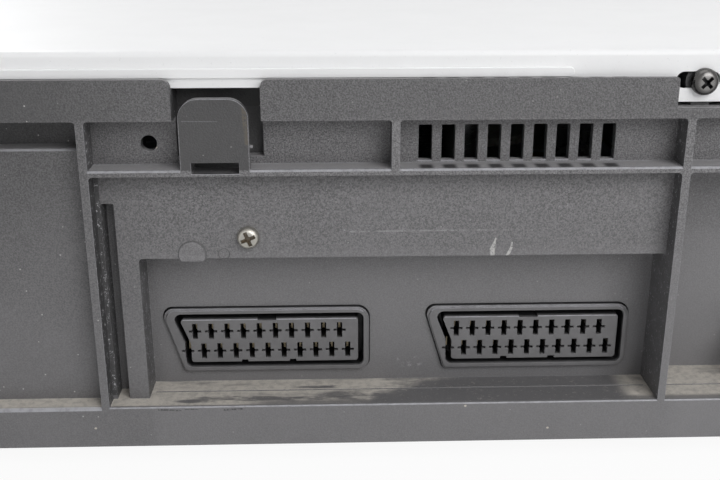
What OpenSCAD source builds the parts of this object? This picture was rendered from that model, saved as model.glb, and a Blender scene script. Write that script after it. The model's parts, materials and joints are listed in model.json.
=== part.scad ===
/* [Case] */
// Width of the case over the cover
case_w = 355; // [345:1:430]
// Depth of the case from the button faces to the rear wall
case_d = 285; // [280:1:340]
// Height from the table to the top of the cover
case_h = 95; // [92:0.5:110]
// Height of the feet under the case
foot_h = 4; // [3:0.5:8]
// Diameter of a foot
foot_d = 24; // [16:1:32]
// Thickness of the sheet steel of the cover
sheet_t = 0.8; // [0.6:0.1:1.2]
// Thickness of the moulded plastic walls
wall_t = 2.2; // [1.8:0.1:3]
// Radius of the long bends at the top of the cover
bend_r = 3; // [1.5:0.5:5]
// Drop from the top of the cover to the top of the rear wall
cover_drop = 5.6; // [5:0.1:7]

/* [Rear wall] */
// Thickness of the outermost face of the rear wall
lip_t = 1.6; // [1.2:0.1:1.7]
// Height of the band along the top of the rear wall
lip_h = 8.7; // [8:0.1:12]
// Height of the sill along the bottom of the rear wall
sill_h = 10.1; // [9.5:0.1:12]
// Height of the row of upper bays
bay_h = 10.5; // [9:0.1:14]
// Depth of the upper bays
bay_deep = 5.9; // [4:0.1:8]
// Thickness of the long horizontal rib
rib_t = 1.4; // [1.2:0.1:2.5]
// Distance from the middle of the case to the left main rib, seen from behind
left_rib_x = 41.2; // [38:0.1:60]
// Distance from the middle of the case to the right main rib, seen from behind
right_rib_x = 85.7; // [83.9:0.1:90]
// Thickness of the main ribs
main_rib_t = 1.8; // [1.4:0.1:2.5]
// Distance from the middle of the case to the divider of the upper bays
divider_x = 23; // [10:0.1:24]
// Depth of the screwed middle field
mid_deep = 4.4; // [3:0.1:6]
// Height of the socket recess above its floor
av_h = 34.7; // [28:0.1:38]
// Depth of the socket recess
av_deep = 12.9; // [10:0.1:15]
// Width of the pillar beside the socket recess
pillar_w = 8.4; // [7:0.1:12]
// Width of the upright slit in the pillar
slit_w = 2.8; // [1.5:0.1:3.5]
// Height of the upright slit
slit_h = 47.6; // [20:0.1:50]
// Depth of the slit behind the outer face
slit_deep = 9.4; // [6:0.1:12]
// Depth of the plain side bay
side_deep = 5; // [3:0.1:8]
// Height of the deeper groove above the plain side bay
side_groove_h = 5.2; // [4:0.1:10]
// Depth of the deeper groove above the plain side bay
side_groove_deep = 10; // [7:0.1:12]
// Depth of the bay of the audio and aerial sockets
jack_deep = 17.6; // [14:0.1:19]
// Count of the vent slots
vent_count = 9; // [3:1:10]
// Pitch of the vent slots
vent_pitch = 5.01; // [4:0.01:5.2]
// Width of a vent slot
vent_w = 2.9; // [1.5:0.1:3.5]
// Height of a vent slot
vent_h = 7.9; // [5:0.1:9]
// Radius in the corners of the recesses
corner_r = 0.8; // [0.4:0.1:1.2]
// Chamfer on the upper edges of the thin ribs
rib_chamfer = 0.4; // [0.2:0.05:0.6]
// Chamfer on the sill below the plain side bay
sill_chamfer = 0.7; // [0.3:0.1:1]
// Chamfer on the other upper edges of the rear wall
fine_chamfer = 0.25; // [0.1:0.05:0.4]
// Width of the spring tongue
tongue_w = 14.7; // [12:0.1:16]
// Height of the spring tongue above the rib
tongue_h = 15.2; // [13:0.1:16]
// Radius of the tongue's corners
tongue_r = 4.3; // [2:0.1:6]
// Diameter of the small round hole
pilot_d = 3.5; // [2:0.1:5]

/* [Sockets] */
// Distance from the middle of the case to the first video socket
video_1_x = -56.4; // [-58:0.1:-54]
// Distance from the middle of the case to the second video socket
video_2_x = 5.8; // [2:0.1:7]
// Pitch of the contacts in a row
pin_pitch = 3.81; // [3.6:0.01:3.85]
// Distance between the two rows of contacts
row_pitch = 5.08; // [4.6:0.01:5.4]
// Width of a video socket over its rim
video_w = 49.2; // [49:0.1:50]
// Height of a video socket over its rim
video_h = 16.3; // [16:0.1:18]
// Thickness of the rim of a video socket
video_rim = 1.3; // [1:0.1:1.5]
// Width of the groove around the contacts
video_groove = 1.3; // [1:0.1:1.5]
// Diameter of the sleeve of an audio jack
jack_d = 8.3; // [8:0.1:8.6]
// Distance between the audio jacks
jack_pitch = 16; // [14:0.5:20]
// Diameter of an aerial socket
aerial_d = 13; // [12:0.1:14]
// Distance between the aerial sockets
aerial_pitch = 24; // [18:1:28]
// Distance between the pins of the mains inlet
mains_pitch = 8.6; // [8:0.1:9]

/* [Front] */
// Depth of the moulded front
front_t = 14; // [12:0.5:16]
// How far the buttons stand proud of the front
button_proud = 1.5; // [1.3:0.1:2.5]
// Travel of a button
button_travel = 1.2; // [0.5:0.1:1.2]
// Space between two buttons of a row
button_space = 4; // [3:0.5:6]
// Height of a button
button_h = 8; // [6:0.5:10]
// Diameter of the power button
power_d = 15; // [10:0.5:18]
// Width of the cassette opening
slot_w = 198; // [196:0.5:199]
// Height of the cassette opening
slot_h = 33; // [32:0.5:33]
// Width of the display window
window_w = 140; // [100:1:160]
// Height of the display window
window_h = 26; // [18:0.5:28]
// Width of the flap over the front jacks
jack_flap_w = 66; // [56:1:68]
// Height of the flap over the front jacks
jack_flap_h = 22; // [20:0.5:24]
// Running gap around flaps and buttons
gap = 0.3; // [0.2:0.05:0.4]

/* [Deck] */
// Distance from the middle of the case to the middle of the deck
deck_x = -30; // [-36:0.5:-28]
// Height of the deck plate above the table
deck_z = 25; // [24:0.5:26]
// Diameter of the head drum
drum_d = 62; // [60:0.1:62]
// Lean of the head drum away from the front
drum_tilt = 5.5; // [0:0.5:6]
// Distance between the reel hubs
reel_pitch = 92; // [80:0.5:94]
// Diameter of a reel table
reel_d = 40; // [30:0.5:46]
// Travel of the cassette holder towards the back
carry_in = 42; // [30:0.5:43]
// Drop of the cassette holder
carry_down = 22; // [16:0.5:22]
// Swing radius of the tape guides about the drum
guide_r = 46; // [44:0.5:47]
// Count of the teeth of the loading gear
gear_teeth = 24; // [20:1:26]
// Pitch radius of the loading gear for each tooth
gear_module = 1; // [0.9:0.01:1.05]

/* [Hidden] */
$fn = 48;
cut = 0.5;
touch = 0.3;
run = 0.05;

// Case planes
half_w = case_w / 2;
rear_y = case_d / 2;
front_y = -case_d / 2;
fascia_y = front_y + button_proud;
fascia_back_y = fascia_y + front_t;
fascia_t = 2.5;
inner_w = half_w - sheet_t - 0.1;
base_z = foot_h;
base_top = base_z + wall_t;

// Levels of the rear wall
wall_top = case_h - cover_drop;
lip_z = wall_top - lip_h;
bay_z = lip_z - bay_h;
rib_z = bay_z - rib_t;
sill_z = base_z + sill_h;
av_top = sill_z + av_h;
side_top = lip_z - side_groove_h;
bay_end = half_w - 7.5;

// Cover flange behind the rear wall's upper band
flange_in = lip_t + 0.8;
flange_z = wall_top - 2.1;
flange_tab_z = wall_top - 5.6;
flange_tab_w = 26;
bead_h = 1.9;
bead_out = 0.6;
bead_z = wall_top;
bead_x0 = -right_rib_x + 24.5;
bead_x1 = right_rib_x - 12;
cover_screw_x = right_rib_x + 3.2;
cover_screw_z = wall_top - 1.25;
cover_screw_r = 1.5;
cover_head_r = 2.85;
cover_head_h = 2.2;
screw_notch_w = 19.9;
screw_notch_z = wall_top - 6.6;
screw_notch_x = right_rib_x - 2.6;
slot_r = 1.75;

// Spring tongue and its notch
notch_x0 = 4.4;
notch_w = 18.5;
notch_z = bay_z + 1.6;
notch_r = 1.8;
tongue_x = notch_x0 + notch_w / 2 + 0.7;
tongue_t = 2;
tongue_slot_w = 10.1;
tongue_slot_h = 1.6;
tongue_slot_low = 0.8;
notch_deep = 9;

// Field details
pilot_x = left_rib_x - 12.2;
pilot_z = bay_z + 4.6;
field_screw_x = video_2_x + 2.5;
field_screw_z = av_top + 5;
mark_x = field_screw_x + 12.6;
mark_r = 3.1;
slit_x = left_rib_x - 2.4;
slit_z = sill_z;
vent_x = -divider_x - main_rib_t - 5.85;
vent_z = bay_z + 0.4;

// Sockets
video_z = sill_z + 11.15;
video_out = 1.2;
video_slant = 5;
rim_step = 0.35;
video_kink_in = 4.2;
video_kink_z = -0.7;
video_inner_slope = 0.39;
pin_drop = 0.1;
video_body_deep = 22;
board_z = base_top + 4.8;
board_t = 1.6;
board_top = board_z + board_t;
jack_bay_w = bay_end - right_rib_x - main_rib_t;
jack_bay_x = -right_rib_x - main_rib_t;
jack_half = jack_pitch / 2 + jack_d / 2 + 2;
tuner_half = 0.194 * jack_bay_w;
jack_bay_spare = jack_bay_w - 2 * jack_half - 2 * tuner_half;
jack_x = jack_bay_x - jack_half - 0.83 * jack_bay_spare;
jack_z = sill_z + 10;
jack_wall_y = rear_y - jack_deep;
aerial_x = jack_bay_x - jack_bay_w + tuner_half + 0.067 * jack_bay_spare;
aerial_low_z = sill_z + 14;
mains_x = bay_end - 20.4;
mains_z = sill_z + 16;

// Front openings
slot_top = case_h - 5;
slot_z = slot_top - slot_h;
slot_x = deck_x;
hinge_y = fascia_y + 5;
hinge_z = slot_top - 1.7;
hinge_r = 1.5;
ear_x = slot_w / 2 + 2.1;
flap_t = 2.4;
window_x = deck_x;
window_z = foot_h + 29;
groove_z = (slot_z + window_z + window_h / 2) / 2 - 0.5;
slot_end = slot_x + slot_w / 2;
control_room = half_w - slot_end;
control_x = slot_end + 0.157 * control_room;
control_dx = 0.166 * control_room;
button_w = control_dx - button_space;
control_z = slot_z + 17;
control_dz = 14;
power_x = slot_x - slot_w / 2 - 0.536 * (half_w + slot_x - slot_w / 2);
jack_flap_x = slot_end + 0.4424 * control_room;
jack_flap_z = foot_h + 10;
jack_hinge_y = fascia_y + 1.4;
jack_hinge_r = 1.2;
jack_hinge_z = jack_flap_z + 2.1;
switch_h = 4;
front_board_y = fascia_back_y + 6;

// Deck positions, measured from the middle of the deck
deck_t = 1.2;
deck_top = deck_z + deck_t;
holder_half = slot_w / 2 - 1;
deck_half = holder_half;
deck_y0 = front_board_y + board_t + 2;
drum_y = 28;
deck_y1 = drum_y + 38;
drum_base_z = deck_top + 5;
lower_h = 15;
upper_h = 20;
reel_y = -74;
hub_r = 6;
reel_pin_r = 2;
capstan_x = deck_x + 62;
capstan_y = drum_y - 24;
capstan_r = 2;
rotor_r = 24;
pinch_x = capstan_x + 18;
pinch_y = capstan_y + 16;
pinch_reach = 20;
pinch_start = 284.9;
roller_r = 6;
guide_start = -72;
guide_end = 8;
guide_slot_r = 2.1;

// Cassette carriage
holder_len = 52;
holder_y = -102;
holder_floor = slot_z;
holder_top = holder_floor + 27.4;
ledge_w = 13;
pin_r = 1.9;
pin_z = holder_floor + 14;
pin_y0 = holder_y + 8;
pin_y1 = holder_y + 44;
frame_x = holder_half + 2;
frame_t = 1.2;
rack_in = frame_x + 3;
rack_mid = rack_in + 3.4;
rack_out = rack_mid + 2.6;
gear_r = gear_teeth * gear_module / 2;
gear_y = -70;
rack_pitch_z = holder_top - 8.6;
gear_z = rack_pitch_z - gear_r;
tooth_up = 0.6 * gear_module;
tooth_down = 1.2 * gear_module;
tooth_pitch = PI * gear_module;
tooth_play = 0.35;

// One box between two corners
module block(x0, x1, y0, y1, z0, z1) {
    translate([x0, y0, z0]) cube([x1 - x0, y1 - y0, z1 - z0]);
}

// Flat outline with round corners
module round_rect(x0, x1, z0, z1, r) {
    translate([x0 + r, z0]) square([x1 - x0 - 2 * r, z1 - z0]);
    translate([x0, z0 + r]) square([x1 - x0, z1 - z0 - 2 * r]);
    for (x = [x0 + r, x1 - r], z = [z0 + r, z1 - r]) translate([x, z]) circle(r);
}

// Outline of the case seen from the front, with the long top bends
module case_outline(inset, z0) {
    r = max(bend_r - inset, 0.4);
    half = half_w - inset;
    top = case_h - inset;
    translate([-half, z0]) square([2 * half, top - r - z0]);
    translate([-half + r, z0]) square([2 * half - 2 * r, top - z0]);
    for (x = [-half + r, half - r]) translate([x, top - r]) circle(r);
}

// Prism along the depth of the case, from y0 back to y1
module along_y(y0, y1) {
    translate([0, y1, 0]) rotate([90, 0, 0]) linear_extrude(y1 - y0) children();
}

module rod_x(x0, x1, y, z, r) {
    translate([x0, y, z]) rotate([0, 90, 0]) cylinder(h = x1 - x0, r = r);
}

module rod_y(y0, y1, x, z, r) {
    translate([x, y0, z]) rotate([-90, 0, 0]) cylinder(h = y1 - y0, r = r);
}

module rod_z(z0, z1, x, y, r) {
    translate([x, y, z0]) cylinder(h = z1 - z0, r = r);
}

module tube_z(z0, z1, x, y, r, hole) {
    difference() {
        rod_z(z0, z1, x, y, r);
        rod_z(z0 - cut, z1 + cut, x, y, hole);
    }
}

// Recess cut into the rear wall from its outer face, square at its lower corners
module rear_cut(x0, x1, z0, z1, deep, r = corner_r) {
    along_y(rear_y - deep, rear_y + cut) {
        round_rect(x0, x1, z0, z1, r);
        translate([x0, z0]) square([x1 - x0, (z1 - z0) / 2]);
    }
}

// Notch in the top edge of the rear wall, with round shoulders
module rear_notch(x0, x1, z0, deep, shoulder) {
    along_y(rear_y - deep, rear_y + cut) {
        translate([x0, z0]) square([x1 - x0, wall_top + 6 - z0]);
        for (s = [-1, 1]) difference() {
            x = s < 0 ? x0 : x1;
            translate([min(x, x + s * shoulder), wall_top - shoulder]) square([shoulder, shoulder + cut]);
            translate([x + s * shoulder, wall_top - shoulder]) circle(shoulder);
        }
    }
}

// Chamfer along the front edge of a recess floor
module floor_chamfer(x0, x1, z0, size, face = rear_y) {
    translate([x0, 0, 0]) rotate([90, 0, 90]) linear_extrude(x1 - x0)
        polygon([[face - size, z0], [face - size, z0 + cut], [face + cut, z0 + cut],
            [face + cut, z0 - size - cut]]);
}

// Walls that carry one recess on the inside
module rear_skin(x0, x1, z0, z1, deep) {
    block(x0 - wall_t, x1 + wall_t, rear_y - deep - wall_t, rear_y, z0 - wall_t, z1 + wall_t);
}

// Pan head screw along the depth, with its head outside and its cross turned
module pan_screw(x, z, face_y, head_r, head_h, shank_r, shank_l, cross_l, turn) {
    translate([x, face_y, z]) difference() {
        rotate([-90, 0, 0]) rotate_extrude() polygon([[0, -shank_l], [shank_r, -shank_l], [shank_r, 0],
            [head_r, 0], [head_r, head_h * 0.35], [head_r * 0.95, head_h * 0.6],
            [head_r * 0.8, head_h * 0.85], [head_r * 0.55, head_h], [0, head_h]]);
        translate([0, head_h, 0]) rotate([0, turn, 0]) {
            for (a = [0, 90]) rotate([0, a, 0]) cube([cross_l, head_h * 0.8, cross_l * 0.25], center = true);
            rotate([0, 45, 0]) cube([cross_l * 0.42, head_h * 1.2, cross_l * 0.42], center = true);
        }
    }
}

function unit(v) = v / norm(v);

// Points of an outline with a round of its own radius at each corner
function rounded(p, r) = [for (i = [0:len(p) - 1])
    let (n = len(p), u = unit(p[(i + n - 1) % n] - p[i]), v = unit(p[(i + 1) % n] - p[i]),
        half = acos(u * v) / 2, middle = p[i] + unit(u + v) * r[i] / sin(half),
        first = p[i] + u * r[i] / tan(half) - middle, last = p[i] + v * r[i] / tan(half) - middle)
    for (k = [0:6]) middle + r[i] * unit(first + (last - first) * k / 6)];

// Slanted outline of a video socket's rim, drawn in by inset
module video_outline(inset) {
    slope = video_slant / video_h;
    lean = inset * sqrt(1 + slope * slope);
    x0 = -video_w / 2 + inset;
    z1 = video_h / 2 - inset;
    polygon(rounded([[x0, -z1], [x0, z1], [video_w / 2 - lean - slope * inset, z1],
        [video_w / 2 - video_slant - lean + slope * inset, -z1]], [2.5, 3, 2.2, 1.2]));
}

// Outline with a kinked short side: both edges of the groove inside the rim
module video_inner(inset, r) {
    x0 = -video_w / 2 + inset;
    x1 = video_w / 2 - video_kink_in - inset;
    z1 = video_h / 2 - inset;
    polygon(rounded([[x0, -z1], [x0, z1], [x1 + video_inner_slope * (z1 - video_kink_z), z1],
        [x1, video_kink_z], [x1, -z1]], [r, r, r, 1, r]));
}

module chassis() {
    color("#3a393b") difference() {
        union() {
            block(-inner_w, inner_w, fascia_back_y, rear_y - lip_t, base_z, base_top);
            for (s = [-1, 1]) {
                block(min(s * (inner_w - wall_t), s * inner_w), max(s * (inner_w - wall_t), s * inner_w),
                    fascia_back_y, rear_y - lip_t - wall_t, base_z, base_z + 20);
                for (y = side_screw_y) rod_x(min(s * (inner_w - 8), s * inner_w),
                    max(s * (inner_w - 8), s * inner_w), y, side_screw_z, 4.2);
            }
            block(-inner_w, inner_w, fascia_back_y, fascia_back_y + wall_t, base_z, base_z + 8);
            for (p = board_posts) rod_z(base_z, board_z, p[0], p[1], 3.5);
            for (p = power_posts) rod_z(base_z, board_z, p[0], p[1], 3.5);
            for (p = deck_posts) rod_z(base_z, deck_z, p[0], p[1], 4);
            for (y = [-100:25:100]) block(-inner_w + wall_t, inner_w - wall_t, y, y + 1.6,
                base_top - 0.2, base_top + 2.4);
        }
        for (s = [-1, 1], y = side_screw_y) rod_x(min(s * (inner_w - 7), s * (inner_w + cut)),
            max(s * (inner_w - 7), s * (inner_w + cut)), y, side_screw_z, cover_screw_r + run);
        for (i = [0:12], y = [-44, 20]) translate([power_x0 + power_w * (0.08 + 0.0735 * i), y, base_z - cut])
            cube([2.4, 50, wall_t + 4]);
        for (i = [0:17]) translate([deck_x - 60 + i * 6.6, 78, base_z - cut])
            cube([3, 18, wall_t + 4]);
    }
}

side_screw_y = [-90, 62];
side_screw_z = foot_h + 12;
power_x0 = deck_x + deck_half + 37;
power_x1 = inner_w - 9;
power_w = power_x1 - power_x0;
board_x0 = -inner_w + 9;
board_x1 = power_x0 - 10;
board_y1 = rear_y - jack_deep - wall_t - 0.4;
board_posts = [[board_x0 + 8, -30], [board_x1 - 8, -30], [board_x0 + 8, board_y1 - 8],
    [board_x1 - 8, board_y1 - 8], [deck_x, 72]];
big_cap_r = 11;
mid_cap_r = 5;
small_cap_r = 3.1;
power_posts = [[power_x0 + 8, -52], [power_x1 - 8, -52], [power_x0 + 8, 100], [power_x1 - 8, 100]];
deck_posts = [for (s = [-1, 1], y = [deck_y0 + 10, deck_y1 - 12]) [deck_x + s * (deck_half - 8), y]];

module rear_recesses() {
    // Plain bay and its groove at the left, seen from behind
    rear_cut(left_rib_x + main_rib_t, bay_end, sill_z, side_top, side_deep);
    rear_cut(left_rib_x + main_rib_t, bay_end, side_top - 2 * corner_r, lip_z, side_groove_deep);
    // Row of upper bays
    rear_cut(-divider_x, left_rib_x, bay_z, lip_z, bay_deep);
    rear_cut(-right_rib_x, -divider_x - main_rib_t, bay_z, lip_z, bay_deep);
    rear_cut(-bay_end, -right_rib_x - main_rib_t, bay_z, lip_z, bay_deep);
    // Screwed field, slit and socket recess
    rear_cut(-right_rib_x, left_rib_x, sill_z, rib_z, mid_deep);
    rear_cut(slit_x - slit_w / 2, slit_x + slit_w / 2, slit_z, slit_z + slit_h, slit_deep, 0.4);
    rear_cut(-right_rib_x, left_rib_x - pillar_w, sill_z, av_top, av_deep);
    // Deep bay of the audio and aerial sockets
    rear_cut(-bay_end, -right_rib_x - main_rib_t, sill_z, rib_z, jack_deep);
}

module rear_chamfers() {
    floor_chamfer(left_rib_x + main_rib_t, bay_end, sill_z, sill_chamfer);
    floor_chamfer(left_rib_x + main_rib_t, bay_end, side_top - 2 * corner_r, rib_chamfer, rear_y - side_deep);
    floor_chamfer(-divider_x, left_rib_x, bay_z, rib_chamfer);
    floor_chamfer(-right_rib_x, -divider_x - main_rib_t, bay_z, rib_chamfer);
    floor_chamfer(-bay_end, -right_rib_x - main_rib_t, bay_z, rib_chamfer);
    floor_chamfer(-right_rib_x, left_rib_x, sill_z, fine_chamfer);
    floor_chamfer(-bay_end, -right_rib_x - main_rib_t, sill_z, fine_chamfer);
    for (s = [-1, 1]) floor_chamfer(min(s * screw_notch_x, s * (screw_notch_x + screw_notch_w)),
        max(s * screw_notch_x, s * (screw_notch_x + screw_notch_w)), screw_notch_z, fine_chamfer);
}

module rear_skins() {
    rear_skin(left_rib_x + main_rib_t, bay_end, sill_z, side_top, side_deep);
    rear_skin(left_rib_x + main_rib_t, bay_end, side_top, lip_z, side_groove_deep);
    rear_skin(-bay_end, left_rib_x, bay_z, lip_z, bay_deep);
    rear_skin(-right_rib_x, left_rib_x, sill_z, rib_z, mid_deep);
    rear_skin(slit_x - slit_w / 2, slit_x + slit_w / 2, slit_z, slit_z + slit_h, slit_deep);
    rear_skin(-right_rib_x, left_rib_x - pillar_w, sill_z, av_top, av_deep);
    rear_skin(-bay_end, -right_rib_x - main_rib_t, sill_z, rib_z, jack_deep);
    rear_skin(notch_x0, notch_x0 + notch_w, notch_z, flange_z - touch - wall_t, notch_deep);
    block(notch_x0 - wall_t, notch_x0 + notch_w + wall_t, rear_y - notch_deep - wall_t,
        rear_y - notch_deep, lip_z, wall_top - 1);
}

module rear_panel() {
    color("#5f5e61") {
        difference() {
            union() {
                block(-half_w, half_w, rear_y - lip_t, rear_y, base_z, wall_top);
                rear_skins();
                for (s = [-1, 1]) {
                    rod_y(rear_y - flange_in - sheet_t - 9, rear_y - flange_in - sheet_t,
                        s * cover_screw_x, cover_screw_z, 3.6);
                    block(s * cover_screw_x - 2, s * cover_screw_x + 2,
                        rear_y - flange_in - sheet_t - 9, rear_y - flange_in - sheet_t,
                        lip_z + wall_t - 0.2, cover_screw_z);
                }
            }
            rear_recesses();
            rear_chamfers();
            // Notch and pocket behind the tongue
            rear_notch(notch_x0, notch_x0 + notch_w, notch_z, notch_deep, notch_r);
            block(tongue_x - tongue_slot_w / 2, tongue_x + tongue_slot_w / 2, rear_y - bay_deep, rear_y + cut,
                bay_z - tongue_slot_low, bay_z + cut);
            // Vent slots
            for (i = [0:vent_count - 1]) rear_cut(vent_x - i * vent_pitch - vent_w / 2,
                vent_x - i * vent_pitch + vent_w / 2, vent_z, vent_z + vent_h, bay_deep + wall_t + cut, 0.3);
            // Small hole and the screw of the field
            rod_y(rear_y - bay_deep - wall_t - cut, rear_y, pilot_x, pilot_z, pilot_d / 2);
            rod_y(rear_y - mid_deep - wall_t - cut, rear_y, field_screw_x, field_screw_z, 1.6);
            // Notches and pilot holes at the cover screws
            for (s = [-1, 1]) {
                rear_notch(min(s * screw_notch_x, s * (screw_notch_x + screw_notch_w)),
                    max(s * screw_notch_x, s * (screw_notch_x + screw_notch_w)),
                    screw_notch_z, lip_t + cut, 0.6);
                rod_y(rear_y - flange_in - sheet_t - 9 - cut, rear_y, s * cover_screw_x, cover_screw_z,
                    cover_screw_r + run);
            }
            // Small shallow round mark of the mould
            rod_y(rear_y - mid_deep - 0.2, rear_y, field_screw_x + 5.6, av_top + 0.95, 1.3);
            // Fine seam across the floors of the two deep recesses
            for (x = [[-bay_end + 1, -right_rib_x - main_rib_t - 1],
                [-right_rib_x + 1, left_rib_x - pillar_w - 1]])
                block(x[0], x[1], rear_y - 7.8, rear_y - 7.4, sill_z - 0.3, sill_z + 0.5);
            // Windows of the video sockets
            for (x = [video_1_x, video_2_x]) translate([x, 0, video_z])
                along_y(rear_y - av_deep - wall_t - cut, rear_y) video_outline(-0.2);
            // Windows of the jacks, the aerial sockets and the mains inlet
            for (i = [-0.5, 0.5]) rod_y(jack_wall_y - wall_t - cut, rear_y, jack_x + i * jack_pitch, jack_z,
                jack_d / 2 + 1.1);
            for (i = [0, 1]) rod_y(jack_wall_y - wall_t - cut, rear_y, aerial_x,
                aerial_low_z + i * aerial_pitch, aerial_d / 2 + 0.6);
            along_y(rear_y - side_deep - wall_t - cut, rear_y)
                round_rect(mains_x - 11, mains_x + 11, mains_z - 7, mains_z + 7, 1.5);
        }
        // Large round mark of the mould, a little proud of the field and cut off below
        intersection() {
            rod_y(rear_y - mid_deep - 1, rear_y - mid_deep + 0.15, mark_x, av_top + 1, mark_r);
            block(mark_x - mark_r, mark_x + mark_r, rear_y - av_deep, rear_y, av_top - 0.65,
                av_top + 1 + mark_r);
        }
        // Spring tongue, bridged over its slot
        along_y(rear_y - tongue_t, rear_y) difference() {
            union() {
                translate([tongue_x - tongue_w / 2, rib_z])
                    square([tongue_w, tongue_h + rib_t - tongue_r]);
                translate([tongue_x - tongue_w / 2 + tongue_r, rib_z])
                    square([tongue_w - 2 * tongue_r, tongue_h + rib_t]);
                for (s = [-1, 1]) translate([tongue_x + s * (tongue_w / 2 - tongue_r),
                    bay_z + tongue_h - tongue_r]) circle(tongue_r);
            }
            translate([tongue_x - tongue_slot_w / 2, bay_z - tongue_slot_low])
                square([tongue_slot_w, tongue_slot_h + tongue_slot_low]);
        }
        // Nib left on the tongue's edge by the mould
        block(tongue_x - tongue_w / 2 - 0.7, tongue_x - tongue_w / 2 + 0.2, rear_y - tongue_t,
            rear_y - 0.6, bay_z + 4.6, bay_z + 5.1);
    }
}

module top_cover() {
    flange_y = rear_y - flange_in;
    front = fascia_back_y + 0.3;
    skirt_z = foot_h + 3;
    color("#d9dadb") difference() {
        union() {
            difference() {
                intersection() {
                    along_y(front, flange_y) case_outline(0, skirt_z);
                    translate([-half_w - cut, 0, 0]) rotate([90, 0, 90]) linear_extrude(case_w + 2 * cut)
                        union() {
                            translate([front - cut, 0]) square([flange_y - front - 1.5 + cut, case_h]);
                            translate([front - cut, 0]) square([flange_y - front + cut, case_h - 1.5]);
                            translate([flange_y - 1.5, case_h - 1.5]) circle(1.5);
                        }
                }
                along_y(front - cut, flange_y - sheet_t) case_outline(sheet_t, skirt_z - cut);
                // Everything below the rear flange is open, apart from its screw tabs
                difference() {
                    block(-half_w + sheet_t, half_w - sheet_t, flange_y - 2 * sheet_t, flange_y + cut,
                        0, flange_z);
                    for (s = [-1, 1]) block(s * cover_screw_x - flange_tab_w / 2,
                        s * cover_screw_x + flange_tab_w / 2, flange_y - 3 * sheet_t, flange_y + 2 * cut,
                        flange_tab_z, flange_z + cut);
                }
            }
            // Stiffening bead along the flange
            along_y(flange_y, flange_y + bead_out)
                round_rect(bead_x0, bead_x1, bead_z, bead_z + bead_h, bead_h / 2 - 0.01);
        }
        // Screw slots of the flange
        for (s = [-1, 1]) along_y(flange_y - 2 * sheet_t, flange_y + cut)
            round_rect(s * (cover_screw_x - 1.2) - 4.7, s * (cover_screw_x - 1.2) + 4.7,
                cover_screw_z + 0.3 - slot_r, cover_screw_z + 0.3 + slot_r, slot_r - 0.01);
        // Screw holes and vents of the sides
        for (s = [-1, 1], y = side_screw_y) rod_x(s * half_w - 3, s * half_w + 3, y, side_screw_z,
            cover_screw_r + 0.3);
        for (s = [-1, 1], i = [0:11]) block(s * half_w - 3, s * half_w + 3, 20 + i * 8, 23 + i * 8,
            case_h - 33, case_h - 15);
    }
}

function button_at(i) = i == 8 ? [control_x + 4.2 * control_dx, control_z]
    : i == 9 ? [control_x + 4.2 * control_dx, control_z - control_dz]
    : [control_x + (i % 4) * control_dx, control_z - (i > 3 ? control_dz : 0)];

module button(i) {
    p = button_at(i);
    color("#c9cacc") {
        along_y(front_y, fascia_y + fascia_t + 0.1)
            round_rect(p[0] - button_w / 2, p[0] + button_w / 2, p[1] - button_h / 2, p[1] + button_h / 2, 1.5);
        along_y(fascia_y + fascia_t + 0.1, fascia_y + fascia_t + 1.2)
            round_rect(p[0] - button_w / 2 - 1, p[0] + button_w / 2 + 1,
                p[1] - button_h / 2 - 1, p[1] + button_h / 2 + 1, 1.5);
        rod_y(fascia_y + fascia_t + 1, front_board_y - switch_h - button_travel - touch, p[0], p[1], 2);
    }
}

module power_button() {
    color("#c9cacc") {
        rod_y(front_y, fascia_y + fascia_t + 0.1, power_x, control_z, power_d / 2);
        rod_y(fascia_y + fascia_t + 0.1, fascia_y + fascia_t + 1.2, power_x, control_z, power_d / 2 + 1);
        rod_y(fascia_y + fascia_t + 1, front_board_y - switch_h - button_travel - touch,
            power_x, control_z, 2);
    }
}

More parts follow.
